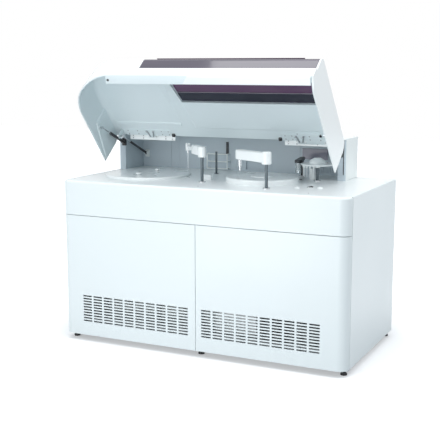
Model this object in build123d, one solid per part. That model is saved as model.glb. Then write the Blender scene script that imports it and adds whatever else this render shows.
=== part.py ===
from build123d import *
import math
import os

os.makedirs("parts", exist_ok=True)

# Cabinet, in millimetres. X runs along the front, Y to the back, Z up from the floor.
cabinet_width = 1640
cabinet_depth = 831
deck_height = 892
ground_gap = 34
fascia_height = 189
corner_radius = 50
side_seam_back = 50
door_seam = 3
side_seam = 4
sheet = 3
fold = 18
pan_depth = 20
fascia_round = 12
edge_round = 5
deck_sheet = 5
deck_joint = 1

# Steel frame inside the cabinet.
tube = 30
rail_height = 70
top_rail_drop = 186
foot_radius = 17
foot_thick = 12
stem_radius = 8

# Vent slots of the doors.
slot_columns = 10
slot_rows = 10
slot_pitch_x = 66
slot_pitch_z = 15.5
slot_length = 55
slot_height = 8
vent_bottom = 112
vent_inset_left = 45
vent_inset_right = 33

# Raised housing behind the work space.
tower_width = 43
shelf_width = 222
housing_top = 1118
tower_front = 192
cover_sheet = 4
cover_front = 178
back_wall = 12.5
back_set = 3

# Hood, measured along its closed rim from the back edge and up from the rim.
hood_length = 619
hood_rim_gap = 5
hood_back = 188
hood_height = 207
hood_lip_height = 45
hood_band_top = 103
hood_band_proud = 13
hood_skin = 4
liner_skin = 3
hood_corner = 255
hood_top_round = 34
hood_top_start = 30
hood_side_gap = 2
end_cap = 6
lip_start = 500
opening_angle = 50.4
hinge_y = 168
hinge_z = 1098
hinge_left_x = -575
hinge_right_x = 356
hinge_pin = 4
hinge_knuckle = 7
running = 0.05
clear = 0.5

# Window in the hood.
window_back = 300
window_left = -380
window_right_land = 8
liner_window_left = -296
liner_window_right_land = 93

# Struts that hold the hood.
spring_x_inset = 36
spring_low_y = 172
spring_low_z = 1058
spring_up_along = 201
spring_up_high = 70
spring_case_length = 150
spring_case_radius = 9
spring_rod_radius = 4
damper_x_inset = 75
damper_low_y = 384
damper_low_z = 975
damper_up_along = 60
damper_up_high = 150
damper_case_length = 205
damper_case_radius = 7
damper_rod_radius = 3.5
eye_radius = 9
eye_width = 9
strut_neck = 4
strut_pin = 3

# Carousels and arms on the deck.
sample_x = -500
sample_y = -20
sample_tub_radius = 233
sample_lid_radius = 240
sample_lid_height = 13
sample_ring = 217.5
sample_tubes = 20
reagent_bottles = 12
reaction_x = 200
reaction_y = -10
reaction_cover_radius = 198
reaction_cover_height = 28
reaction_tub_radius = 184
reaction_ring = 168
cuvette_count = 40
cuvette_top = 858
tub_wall = 4
tub_floor = 6
spindle_radius = 12
shaft_radius = 8
sample_arm_x = -76
sample_arm_y = -181
sample_arm_rest = 136
sample_arm_bottom = 1027
sample_arm_top = 1083
sample_tip = 925
sample_travel = 60
reagent_arm_x = 337
reagent_arm_y = -281
reagent_arm_length = 230
reagent_arm_rest = 150
reagent_arm_swing = 110
reagent_arm_bottom = 1018
reagent_arm_top = 1081
reagent_tip = 959
guide_pin_reach = 12
guide_pin_play = 1.8
guide_pin_length = 38
reagent_travel = 90
mixer_x = 309
mixer_y = 307
mixer_rest = 283
mixer_bottom = 985
mixer_top = 1001
mixer_tip = 930
mixer_travel = 45
guard_radius = 16
guard_wall = 1.5
wash_x = 463
wash_y = 126
wash_plate_z = 980
wash_plate_radius = 90
wash_travel = 50
needle_radius = 1.2

# Places that follow from the sizes above.
half_width = cabinet_width / 2
front = -cabinet_depth / 2
back = cabinet_depth / 2
seam_y = front + side_seam_back
skin_front_edge = seam_y + side_seam / 2
fascia_bottom = deck_height - fascia_height
door_top = fascia_bottom - door_seam / 2
fascia_base = fascia_bottom + door_seam / 2
deck_side = half_width - fold - deck_joint
tower_right = half_width - shelf_width
tower_inner_left = -half_width + tower_width
tower_inner_right = tower_right - tower_width
back_face = back - back_set
inner_back = back_face - back_wall
cover_bottom = housing_top - cover_sheet
hood_left = -half_width + hood_side_gap
hood_right = tower_right
hood_base = deck_height + hood_rim_gap
frame_side = half_width - fold
frame_front = skin_front_edge + side_seam / 2
frame_back = back - sheet
top_rail = deck_height - top_rail_drop


def box_between(x0, x1, y0, y1, z0, z1):
    middle = Pos((x0 + x1) / 2, (y0 + y1) / 2, (z0 + z1) / 2)
    return middle * Box(x1 - x0, y1 - y0, z1 - z0)


def upright(x, y, z0, z1, radius):
    return Pos(x, y, (z0 + z1) / 2) * Cylinder(radius, z1 - z0)


def ring(x, y, z0, z1, outer, inner):
    return upright(x, y, z0, z1, outer) - upright(x, y, z0 - 1, z1 + 1, inner)


def across(x0, x1, y, z, radius):
    return Pos((x0 + x1) / 2, y, z) * Rot(0, 90, 0) * Cylinder(radius, x1 - x0)


def one(shape):
    # The pieces that touch are joined, and a single solid is given back as it is.
    solids = shape.solids()
    return solids[0] if len(solids) == 1 else Compound(children=list(solids))


def group(pieces):
    return Compound(children=[solid for piece in pieces for solid in piece.solids()])


def about_hinge(shape, degrees):
    # The hood is drawn closed and turned about its hinge.
    there = Pos(0, hinge_y, hinge_z)
    return there * Rot(degrees, 0, 0) * there.inverse() * shape


def opened(shape):
    return about_hinge(shape, -opening_angle)


def opened_point(y, z):
    turn = math.radians(-opening_angle)
    dy, dz = y - hinge_y, z - hinge_z
    return (hinge_y + dy * math.cos(turn) - dz * math.sin(turn),
            hinge_z + dy * math.sin(turn) + dz * math.cos(turn))


def polar(x, y, radius, degrees):
    turn = math.radians(degrees)
    return x + radius * math.cos(turn), y + radius * math.sin(turn)


def wrap(inset, z0, z1, top_round=0):
    # The cabinet's plan outline, drawn in all round, as an upright block.
    plan = RectangleRounded(cabinet_width - 2 * inset, cabinet_depth - 2 * inset, corner_radius - inset)
    body = Pos(0, 0, z0) * extrude(plan, z1 - z0)
    if top_round:
        body = fillet(body.edges().group_by(Axis.Z)[-1], top_round)
    return body


def chassis():
    # Square tubes: six posts, a bottom ring, a top ring and a middle rail at each level.
    low, high = rail_height, rail_height + tube
    posts = []
    for x in (-frame_side, -tube / 2, frame_side - tube):
        for y in (frame_front, frame_back - tube):
            posts.append(box_between(x, x + tube, y, y + tube, low, deck_height - deck_sheet))
    rails = []
    for z in (low, top_rail - tube):
        for y in (frame_front, frame_back - tube):
            rails.append(box_between(-frame_side, frame_side, y, y + tube, z, z + tube))
        for x in (-frame_side, -tube / 2, frame_side - tube):
            rails.append(box_between(x, x + tube, frame_front, frame_back, z, z + tube))
    return one(posts[0].fuse(*posts[1:], *rails))


def floor_pan():
    # A folded pan on the bottom rails, notched round the posts.
    z = rail_height + tube
    side = frame_side - tube / 2
    pan_front, pan_back = frame_front + tube / 2, frame_back - tube / 2
    outer = box_between(-side, side, pan_front, pan_back, z, z + pan_depth)
    inner = box_between(-side + sheet, side - sheet, pan_front + sheet, pan_back - sheet, z + sheet,
                        z + pan_depth + 1)
    notches = []
    for x in (-frame_side, -tube / 2, frame_side - tube):
        for y in (frame_front, frame_back - tube):
            notches.append(box_between(x - clear, x + tube + clear, y - clear, y + tube + clear, z - 1,
                                       z + pan_depth + 1))
    return one((outer - inner).cut(*notches))


def feet():
    # Round rubber-faced pads on threaded stems with a lock nut under the frame.
    pieces = []
    nut_height = 8
    for x in (-frame_side + tube / 2, 0, frame_side - tube / 2):
        for y in (frame_front + tube / 2, frame_back - tube / 2):
            pad = upright(x, y, 0, foot_thick, foot_radius)
            pad = chamfer(pad.edges().group_by(Axis.Z)[-1], foot_thick / 3)
            stem = upright(x, y, foot_thick, rail_height, stem_radius)
            nut_plan = RegularPolygon(stem_radius * 1.7, 6)
            nut = Pos(x, y, rail_height - nut_height) * extrude(nut_plan, nut_height)
            pieces.append(pad + stem + nut)
    return group(pieces)


def side_panel(sign):
    # A sheet tray: skin outside, folded edges inside.
    x_out, x_in = sign * half_width, sign * (half_width - fold)
    x0, x1 = min(x_out, x_in), max(x_out, x_in)
    tray = box_between(x0, x1, skin_front_edge, back, ground_gap, deck_height)
    outer_edges = tray.edges().filter_by(Axis.Z).sort_by(Axis.X)
    corner = [e for e in outer_edges if abs(e.center().X - x_out) < 0.1 and e.center().Y > 0]
    top = [e for e in tray.edges().filter_by(Axis.Y)
           if abs(e.center().X - x_out) < 0.1 and e.center().Z > deck_height - 1]
    tray = fillet(corner + top, edge_round)
    skin = sheet if sign > 0 else -sheet
    p0, p1 = sorted((x_in - skin, x_out - skin))
    pocket = box_between(p0, p1, skin_front_edge + sheet, back - sheet, ground_gap + sheet, deck_height - sheet)
    return one(tray - pocket)


def rear_panel():
    # Flat sheet between the side panels, with louvre slots and openings for the sockets.
    edge = half_width - fold - deck_joint
    top = deck_height
    panel = box_between(-edge, edge, back - sheet, back, ground_gap, top)
    slots = []
    for side in (-1, 1):
        for i in range(12):
            z = rail_height + 2 * tube + i * 2 * slot_height
            x = side * edge / 2
            slots.append(box_between(x - 2 * slot_length, x + 2 * slot_length, back - 2 * sheet, back + sheet,
                                     z, z + slot_height))
    return one(panel.cut(*slots, inlet_opening(), port_opening()))


inlet_x = -560
inlet_z = 380
inlet_width = 48
inlet_height = 30
port_x = -420
port_width = 120


def inlet_opening():
    return box_between(inlet_x - inlet_width / 2, inlet_x + inlet_width / 2, back - 2 * sheet, back + 1,
                       inlet_z - inlet_height / 2, inlet_z + inlet_height / 2)


def port_opening():
    return box_between(port_x - port_width / 2, port_x + port_width / 2, back - 2 * sheet, back + 1,
                       inlet_z - inlet_height / 2, inlet_z + inlet_height / 2)


def front_fascia():
    # The band above the doors: skin, top lip and a folded bottom edge, wrapped round both corners.
    outer = wrap(0, fascia_base, deck_height, fascia_round)
    inner = wrap(sheet, fascia_base + sheet, deck_height - sheet, fascia_round - sheet)
    mouth = wrap(pan_depth, fascia_base - 1, fascia_base + sheet + 1)
    keep = box_between(-half_width, half_width, front, seam_y - side_seam / 2, fascia_base, deck_height)
    pins = [upright(s * pivot_x, pivot_y, fascia_base - 1, fascia_base + sheet + 1, pivot_radius) for s in (-1, 1)]
    return one(((outer - inner - mouth) & keep).cut(*pins))


pivot_radius = 2.5
pivot_x = half_width - 5
pivot_y = seam_y - side_seam / 2 - 4


def door(sign):
    # A pan: skin with folded edges, wrapped round the cabinet's corner, with punched vent slots.
    low, high = ground_gap, door_top
    outer = wrap(0, low, high) - wrap(pan_depth, low - 1, high + 1)
    pocket = wrap(sheet, low + sheet, high - sheet) - wrap(pan_depth + 1, low, high)
    gap = door_seam / 2
    end = seam_y - side_seam / 2
    x0, x1 = (gap, half_width) if sign > 0 else (-half_width, -gap)
    keep = box_between(x0, x1, front, end, low, high)
    inside = box_between(x0 + (sheet if sign > 0 else 0), x1 - (0 if sign > 0 else sheet), front,
                         end - sheet, low, high)
    pan = (outer & keep) - (pocket & inside)
    start = vent_inset_right if sign > 0 else -vent_inset_left - (slot_columns - 1) * slot_pitch_x - slot_length
    slots = []
    for column in range(slot_columns):
        for row in range(slot_rows):
            x = start + column * slot_pitch_x
            z = vent_bottom + row * slot_pitch_z
            slots.append(box_between(x, x + slot_length, front - 1, front + sheet + 1, z, z + slot_height))
    pan = pan.cut(*slots)
    holes = [upright(sign * pivot_x, pivot_y, z - 1, z + sheet + 1, pivot_radius + running)
             for z in (low, high - sheet)]
    return one(pan.cut(*holes))


def door_pivots():
    # Pins down through the fascia's fold, and pins on angle arms below the doors.
    pieces = []
    arm_thick = 4
    arm_top = ground_gap - 2
    leg_front = frame_front - arm_thick
    for s in (-1, 1):
        x = s * pivot_x
        pieces.append(upright(x, pivot_y, door_top - sheet + 0.2, fascia_base + sheet, pivot_radius))
        x0, x1 = sorted((x + s * 4, s * (frame_side - tube)))
        arm = box_between(x0, x1, pivot_y - 2 * pivot_radius, frame_front, arm_top - arm_thick, arm_top)
        leg_x0, leg_x1 = sorted((s * frame_side, s * (frame_side - tube)))
        leg = box_between(leg_x0, leg_x1, leg_front, frame_front, arm_top - arm_thick, rail_height + tube)
        pin = upright(x, pivot_y, arm_top, ground_gap + sheet - 0.2, pivot_radius)
        pieces.append(arm + leg + pin)
    return group(pieces)


def deck_plate():
    # The work surface, cut out for both tubs, the arm guides and the wells.
    plate = box_between(-deck_side, tower_right - deck_joint, seam_y, back - sheet, deck_height - deck_sheet,
                        deck_height)
    low, high = deck_height - deck_sheet - 1, deck_height + 1
    cuts = [upright(sample_x, sample_y, low, high, sample_tub_radius),
            upright(reaction_x, reaction_y, low, high, reaction_tub_radius)]
    for x, y in ((sample_arm_x, sample_arm_y), (reagent_arm_x, reagent_arm_y), (mixer_x, mixer_y),
                 (wash_x, wash_y)):
        cuts.append(upright(x, y, low, high, guide_radius))
    for x, y, radius in wells():
        cuts.append(upright(x, y, low, high, radius + well_wall))
    return one(plate.cut(*cuts))


def side_shelf():
    # The flat shelf right of the hood.
    shelf = box_between(tower_right, deck_side, seam_y, back - sheet, deck_height - deck_sheet, deck_height)
    return one(shelf)


guide_radius = 13
well_wall = 2
sample_arm_length = math.hypot(sample_x - sample_arm_x, sample_y - sample_arm_y) - sample_ring
sample_arm_over_tubes = math.degrees(math.atan2(sample_y - sample_arm_y, sample_x - sample_arm_x))


def angles_onto_ring(x, y, reach):
    # Where an arm pivoted at x, y points when its needle is over the cuvette ring.
    dx, dy = reaction_x - x, reaction_y - y
    far = math.hypot(dx, dy)
    half = math.degrees(math.acos((reach ** 2 + far ** 2 - reaction_ring ** 2) / (2 * reach * far)))
    towards = math.degrees(math.atan2(dy, dx))
    return towards + half, towards - half


sample_arm_over_cuvettes = angles_onto_ring(sample_arm_x, sample_arm_y, sample_arm_length)[0]
mixer_length = math.hypot(reaction_x - mixer_x, reaction_y - mixer_y) - reaction_ring
mixer_over_cuvettes = math.degrees(math.atan2(reaction_y - mixer_y, reaction_x - mixer_x)) % 360


def wells():
    # Wash wells below the needles' resting places: x, y and bore.
    sample = polar(sample_arm_x, sample_arm_y, sample_arm_length, sample_arm_rest)
    reagent = polar(reagent_arm_x, reagent_arm_y, reagent_arm_length, reagent_arm_rest - reagent_arm_swing)
    mixer = polar(mixer_x, mixer_y, mixer_length, mixer_rest)
    return [(*sample, 6), (*reagent, 9), (*mixer, guard_radius + 3)]


def wash_wells():
    cups = []
    depth = deck_height - sample_tip + sample_travel + 30
    for x, y, bore in wells():
        cup = ring(x, y, deck_height - depth, deck_height + 3, bore + well_wall, bore)
        cup += ring(x, y, deck_height, deck_height + 3, bore + 2 * well_wall, bore)
        cup += upright(x, y, deck_height - depth - 3, deck_height - depth, bore + well_wall)
        cup += upright(x, y, deck_height - depth - 15, deck_height - depth - 3, 4)
        cups.append(cup)
    return group(cups)


def tub(x, y, radius, floor_z):
    # A round tub hung from the deck, with a bored boss for the spindle.
    top = deck_height - deck_sheet
    flange = 2
    shell = upright(x, y, floor_z, top, radius + tub_wall) - upright(x, y, floor_z + tub_floor, top + 1, radius)
    shell += ring(x, y, top - 3, top, radius + tub_wall + flange, radius)
    shell += upright(x, y, floor_z - 10, floor_z, 2 * spindle_radius)
    return one(shell - upright(x, y, floor_z - 20, floor_z + tub_floor + 1, spindle_radius + running))


sample_floor = 765
reaction_floor = 800


def motors():
    # A flanged motor with its gear case hangs under each tub.
    pieces = []
    for x, y, floor_z in ((sample_x, sample_y, sample_floor), (reaction_x, reaction_y, reaction_floor)):
        z = floor_z - 10
        case = Pos(x, y, z - 15) * extrude(RectangleRounded(70, 70, 8), 15)
        can = upright(x, y, z - 55, z - 15, 30)
        case = case + can
        pieces.append(case - upright(x, y, z - 30, z + 1, spindle_radius + clear))
    return group(pieces)


def sample_carousel():
    # A rotor with one row of tube seats near its rim and pockets for bottles inside.
    x, y = sample_x, sample_y
    disc = upright(x, y, sample_floor + 45, sample_floor + 53, sample_tub_radius - 4)
    base = upright(x, y, sample_floor + 12, sample_floor + 16, sample_tub_radius - 4)
    hub = upright(x, y, sample_floor + 10, sample_floor + 75, 40)
    spindle = upright(x, y, sample_floor - 34, sample_floor + 10, spindle_radius)
    rotor = disc + base + hub + spindle
    seats = []
    for i in range(sample_tubes):
        px, py = polar(x, y, sample_ring, access_angle + i * 360 / sample_tubes)
        seats.append(upright(px, py, sample_floor + 40, sample_floor + 60, tube_radius + clear))
    for i in range(reagent_bottles):
        seats.append(bottle_block(i, sample_floor + 40, sample_floor + 60, clear))
    return one(rotor.cut(*seats))


tube_radius = 6.5
access_angle = math.degrees(math.atan2(
    sample_arm_y + sample_arm_length * math.sin(math.radians(sample_arm_over_tubes)) - sample_y,
    sample_arm_x + sample_arm_length * math.cos(math.radians(sample_arm_over_tubes)) - sample_x))
bottle_inner = 80
bottle_outer = 190
bottle_half_angle = 11.5


def bottle_block(i, z0, z1, grow=0):
    # One wedge of the bottle ring, grown all round for its pocket.
    turn = i * 360 / reagent_bottles
    inner, outer = bottle_inner - grow, bottle_outer + grow
    slope = math.tan(math.radians(bottle_half_angle))
    plan = Polygon((inner, -inner * slope - grow), (outer, -outer * slope - grow),
                   (outer, outer * slope + grow), (inner, inner * slope + grow), align=None)
    return Pos(sample_x, sample_y, z0) * Rot(0, 0, turn) * extrude(plan, z1 - z0)


def sample_vessels():
    # Glass tubes in the outer row.
    pieces = []
    low, high = sample_floor + 16.3, sample_floor + 112
    for i in range(sample_tubes):
        x, y = polar(sample_x, sample_y, sample_ring, access_angle + i * 360 / sample_tubes)
        wall = upright(x, y, low, high, tube_radius) - upright(x, y, low + 3, high + 1, tube_radius - 1)
        pieces.append(wall)
    return group(pieces)


def reagent_set():
    # Wedge-shaped bottles with a round neck.
    pieces = []
    low, high = sample_floor + 16.3, sample_floor + 92
    for i in range(reagent_bottles):
        body = bottle_block(i, low, high)
        x, y = polar(sample_x, sample_y, (bottle_inner + bottle_outer) / 2, i * 360 / reagent_bottles)
        pieces.append(body + upright(x, y, high, high + 12, 11))
    return group(pieces)


def sample_lid():
    # A shallow round cover with a step, two handles and the needle's access hole.
    x, y = sample_x, sample_y
    top = deck_height + sample_lid_height
    shell = upright(x, y, deck_height, top, sample_lid_radius)
    shell = fillet(shell.edges().group_by(Axis.Z)[-1], 6)
    shell -= upright(x, y, deck_height - 1, top - sheet, sample_lid_radius - sheet)
    shell += ring(x, y, deck_height - deck_sheet, top - sheet, sample_tub_radius - 1, sample_tub_radius - 4)
    for s in (-1, 1):
        post = upright(x, y + s * handle_reach, top, top + 5, 9)
        grip = upright(x, y + s * handle_reach, top + 5, top + 13, 16)
        grip = fillet(grip.edges(), 3)
        shell += post + grip
    hx, hy = polar(x, y, sample_ring, access_angle)
    return one(shell - upright(hx, hy, deck_height - 10, top + 1, 6))


handle_reach = 106


def reaction_rotor():
    # A ring rotor on a spindle, with a square seat for each cuvette.
    x, y = reaction_x, reaction_y
    seat_z = cuvette_top - 12
    outer, inner = reaction_ring + 14, reaction_ring - 14
    rim = ring(x, y, seat_z, seat_z + 6, outer, inner)
    web = upright(x, y, reaction_floor + 14, reaction_floor + 18, inner + 6)
    wall = ring(x, y, reaction_floor + 14, seat_z + 3, inner + 6, inner)
    hub = upright(x, y, reaction_floor + 10, reaction_floor + 30, 30)
    spindle = upright(x, y, reaction_floor - 34, reaction_floor + 10, spindle_radius)
    rotor = rim + web + wall + hub + spindle
    seats = [cuvette_block(i, seat_z - 1, seat_z + 7, cuvette_side + 0.4) for i in range(cuvette_count)]
    return one(rotor.cut(*seats))


cuvette_side = 8


def cuvette_block(i, z0, z1, side):
    turn = i * 360 / cuvette_count
    x, y = polar(reaction_x, reaction_y, reaction_ring, turn)
    return Pos(x, y, (z0 + z1) / 2) * Rot(0, 0, turn) * Box(side, side, z1 - z0)


def cuvettes():
    # Square optical cells with a collar that hangs on the rotor's rim.
    pieces = []
    collar = cuvette_top - 6
    for i in range(cuvette_count):
        cell = cuvette_block(i, cuvette_top - 36, cuvette_top, cuvette_side)
        cell += cuvette_block(i, collar, collar + 3, cuvette_side + 4)
        cell -= cuvette_block(i, cuvette_top - 34, cuvette_top + 1, cuvette_side - 2)
        pieces.append(cell)
    return group(pieces)


def reaction_cover():
    # A raised round cover on the deck, open where the needles and the mixer reach through.
    x, y = reaction_x, reaction_y
    top = deck_height + reaction_cover_height
    shell = upright(x, y, deck_height, top, reaction_cover_radius)
    shell = fillet(shell.edges().group_by(Axis.Z)[-1], 9)
    shell -= upright(x, y, deck_height - 1, top - sheet, reaction_cover_radius - sheet)
    groove = ring(x, y, top - 1, top + 1, reaction_ring - 34, reaction_ring - 37)
    centre = upright(x, y, top, top + 4, 60)
    centre = fillet(centre.edges().group_by(Axis.Z)[-1], 3)
    cuts = [groove]
    for px, py, radius in access_points():
        cuts.append(upright(px, py, deck_height, top + 5, radius))
    wx, wy, bore = wells()[2]
    cuts.append(upright(wx, wy, deck_height - 1, top + 5, bore + 2 * well_wall + 1))
    return one((shell + centre).cut(*cuts))


def access_points():
    sample = polar(sample_arm_x, sample_arm_y, sample_arm_length, sample_arm_over_cuvettes)
    reagent = polar(reagent_arm_x, reagent_arm_y, reagent_arm_length, reagent_arm_rest)
    mixer = polar(mixer_x, mixer_y, mixer_length, mixer_over_cuvettes)
    return [(*sample, 8), (*reagent, guide_pin_reach + needle_radius + guide_pin_play), (*mixer, guard_radius + 3)]


rail_offset = 44
rail_radius = 6
carriage_height = 24
carriage_width = 34
rail_low = top_rail - 40


def arm_guides():
    # Flanged bushes in the deck and a guide rod beside each shaft, hung from the deck.
    pieces = []
    for x, y, side in drives():
        top = deck_height + 6
        bush = ring(x, y, deck_height - 25, deck_height, guide_radius, shaft_radius + running)
        bush += ring(x, y, deck_height, top, guide_radius + 6, shaft_radius + running)
        pieces.append(bush)
        rail = upright(x + side * rail_offset, y, rail_low, deck_height - deck_sheet, rail_radius)
        rail += upright(x + side * rail_offset, y, deck_height - deck_sheet - 6, deck_height - deck_sheet, 14)
        rail += upright(x + side * rail_offset, y, rail_low - 5, rail_low, 12)
        pieces.append(rail)
    return group(pieces)


def drives():
    # Shaft places with the side that the guide rod stands on.
    return [(sample_arm_x, sample_arm_y, -1), (reagent_arm_x, reagent_arm_y, 1), (mixer_x, mixer_y, -1),
            (wash_x, wash_y, 1)]


def carriage(place, z):
    # The lift carriage: clamped round the guide rod, carrying the turning shaft between two collars.
    x, y, side = place
    length = rail_offset + carriage_width
    plan = RectangleRounded(length, carriage_width, 8)
    body = Pos(x + side * rail_offset / 2, y, z) * extrude(plan, carriage_height)
    bores = upright(x, y, z - 1, z + carriage_height + 1, shaft_radius + running)
    bores += upright(x + side * rail_offset, y, z - 1, z + carriage_height + 1, rail_radius + running)
    return one(body - bores)


def arm_shaft(place, z, top, bottom_extra=12):
    # The turning post, with a collar above and below its carriage.
    x, y, _ = place
    post = upright(x, y, z - bottom_extra, top, shaft_radius)
    gap = 0.3
    post += upright(x, y, z - 6 - gap, z - gap, 12)
    post += upright(x, y, z + carriage_height + gap, z + carriage_height + gap + 5, 12)
    return one(post)


def tapered(length, root, tip):
    # Plan of an arm: the outline round a circle at the post and one at the head.
    return make_hull([*Circle(root).edges(), *(Pos(length, 0) * Circle(tip)).edges()])


def arm_beam(length, root, tip, low, high, top_round, bottom_round):
    body = Pos(0, 0, low) * extrude(tapered(length, root, tip), high - low)
    body = fillet(body.edges().group_by(Axis.Z)[-1], top_round)
    return fillet(body.edges().group_by(Axis.Z)[0], bottom_round)


def seat_on_post(shape, x, y, direction, low, post_top):
    # Turned to its resting direction, and bored for the post that it is fixed on.
    placed = Pos(x, y, 0) * Rot(0, 0, direction) * shape
    return one(placed - upright(x, y, low - 5, post_top, shaft_radius))


def sample_arm_cover():
    # A short deep cover at the post, a slim neck and a separate head that holds the probe.
    body = arm_beam(119, 21, 19, sample_arm_bottom + 8, sample_arm_top, 8, 4)
    cap = Pos(0, 0, sample_arm_bottom) * extrude(Circle(22), sample_arm_top - sample_arm_bottom - 3)
    neck = box_between(100, sample_arm_length, -7, 7, sample_arm_bottom + 22, sample_arm_top - 16)
    high = Pos(sample_arm_length, 0, sample_arm_bottom + 15)
    head = high * extrude(RectangleRounded(19, 26, 6), sample_arm_top - sample_arm_bottom - 15)
    head = fillet(head.edges().group_by(Axis.Z)[-1], 5)
    return seat_on_post(body + cap + neck + head, sample_arm_x, sample_arm_y, sample_arm_rest,
                        sample_arm_bottom, sample_arm_bottom + 30)


def reagent_arm_cover():
    # One long rounded cover with a deeper cap over the post.
    beam = arm_beam(reagent_arm_length, 25, 23, reagent_arm_bottom + 7, reagent_arm_top - 6, 9, 4)
    cap = Pos(0, 0, reagent_arm_bottom) * extrude(Circle(25), reagent_arm_top - reagent_arm_bottom)
    cap = fillet(cap.edges().group_by(Axis.Z)[-1], 8)
    return seat_on_post(beam + cap, reagent_arm_x, reagent_arm_y, reagent_arm_rest,
                        reagent_arm_bottom, reagent_arm_bottom + 30)


def sample_probe():
    x, y = polar(sample_arm_x, sample_arm_y, sample_arm_length, sample_arm_rest)
    base = sample_arm_bottom + 15
    holder = upright(x, y, base - 14, base, 4)
    return one(holder + upright(x, y, sample_tip, base - 14, needle_radius))


def reagent_probe():
    # A heated sleeve round the probe, with a thin guide pin on each side.
    x, y = polar(reagent_arm_x, reagent_arm_y, reagent_arm_length, reagent_arm_rest)
    base = reagent_arm_bottom + 7
    sleeve = upright(x, y, reagent_tip + 6, base, 4.5)
    probe = sleeve + upright(x, y, reagent_tip, reagent_tip + 6, needle_radius)
    plate = Pos(x, y, base - 4) * Rot(0, 0, reagent_arm_rest) * extrude(RectangleRounded(34, 16, 4), 4)
    for s in (-1, 1):
        px, py = polar(x, y, guide_pin_reach * s, reagent_arm_rest)
        probe += upright(px, py, base - guide_pin_length, base - 4, needle_radius)
    return one(probe + plate)


def mixer_arm():
    # Flat dark arm on its own post, with the bore that carries the paddle's spindle.
    place = drives()[2]
    post = arm_shaft(place, carriage_z, mixer_bottom + 3)
    beam = arm_beam(mixer_length, 15, guard_radius + 4, mixer_bottom, mixer_top, 4, 2)
    beam = Pos(mixer_x, mixer_y, 0) * Rot(0, 0, mixer_rest) * beam
    x, y = polar(mixer_x, mixer_y, mixer_length, mixer_rest)
    return one(post + beam - upright(x, y, mixer_bottom - 1, mixer_top - 4, paddle_radius + running))


paddle_radius = 1.5
carriage_z = 790


def mixer_guard():
    # Clear splash guard hung from the mixer's head.
    x, y = polar(mixer_x, mixer_y, mixer_length, mixer_rest)
    wall = ring(x, y, mixer_tip, mixer_bottom, guard_radius, guard_radius - guard_wall)
    return one(wall)


def mixer_paddle():
    x, y = polar(mixer_x, mixer_y, mixer_length, mixer_rest)
    spindle = upright(x, y, mixer_tip + 2, mixer_top - 5, paddle_radius)
    blade = box_between(x - 7, x + 7, y - 0.8, y + 0.8, mixer_tip + 2, mixer_tip + 16)
    blade = fillet(blade.edges().filter_by(Axis.Y), 3)
    return one(spindle + blade)


def wash_rod():
    # The wash head's lift post, clamped to its carriage block.
    x, y, side = drives()[3]
    length = rail_offset + carriage_width
    plan = RectangleRounded(length, carriage_width, 8)
    block = Pos(x + side * rail_offset / 2, y, carriage_z) * extrude(plan, carriage_height)
    block -= upright(x + side * rail_offset, y, carriage_z - 1, carriage_z + carriage_height + 1,
                     rail_radius + running)
    return one(block + upright(x, y, carriage_z - 8, wash_plate_z + 4, shaft_radius))


def wash_head():
    # White round plate with a domed housing on top and wash nozzles below its edge.
    x, y = wash_x, wash_y
    plate = upright(x, y, wash_plate_z, wash_plate_z + 8, wash_plate_radius)
    plate = fillet(plate.edges(), 3)
    hub = upright(x, y, wash_plate_z - 14, wash_plate_z, 16)
    low, high, radius = wash_plate_z + 8, wash_plate_z + 38, 45
    dome_profile = Polyline((0, low), (radius, low)) + RadiusArc((radius, low), (radius - 16, high - 6), -22)
    dome_profile += Line((radius - 16, high - 6), (radius - 26, high)) + Polyline((radius - 26, high), (0, high), (0, low))
    dome = Pos(x, y, 0) * revolve(Plane.XZ * make_face(dome_profile), Axis.Z)
    head = plate + hub + dome
    for i in range(wash_nozzles):
        px, py = polar(x, y, wash_plate_radius - 14, wash_nozzle_start + i * wash_nozzle_step)
        head += upright(px, py, wash_plate_z - 60, wash_plate_z, 1.5)
        head += upright(px, py, wash_plate_z - 12, wash_plate_z, 4)
    return one(head - upright(x, y, wash_plate_z - 20, wash_plate_z + 4, shaft_radius))


wash_nozzles = 6
wash_nozzle_start = 195
wash_nozzle_step = 16


def wash_station_column():
    # Light column beside the lift post, with a foot flange on the deck.
    x, y = wash_x - 39, wash_y + 34
    top = wash_plate_z - 22
    column = Pos(x, y, deck_height) * extrude(RectangleRounded(28, 40, 8), top - deck_height)
    column = fillet(column.edges().group_by(Axis.Z)[-1], 4)
    foot = Pos(x, y, deck_height) * extrude(RectangleRounded(44, 56, 10), 5)
    return one(column + foot)


def deck_fittings():
    # White electrode module with its lid, a small dark knob behind the cover and a slim dark post.
    block = Pos(-100, -60, deck_height) * extrude(RectangleRounded(48, 30, 5), 28)
    block = fillet(block.edges().group_by(Axis.Z)[-1], 4)
    knob = upright(140, 262, deck_height, deck_height + 5, 5) + upright(140, 262, deck_height + 5,
                                                                        deck_height + 14, 9)
    post = upright(post_x, post_y, deck_height, post_top, post_radius)
    post += upright(post_x, post_y, deck_height, deck_height + sheet, 2 * post_radius)
    return group([block, knob, post])


post_x = -184
post_y = 216
post_top = 1019
post_radius = 6


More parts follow.
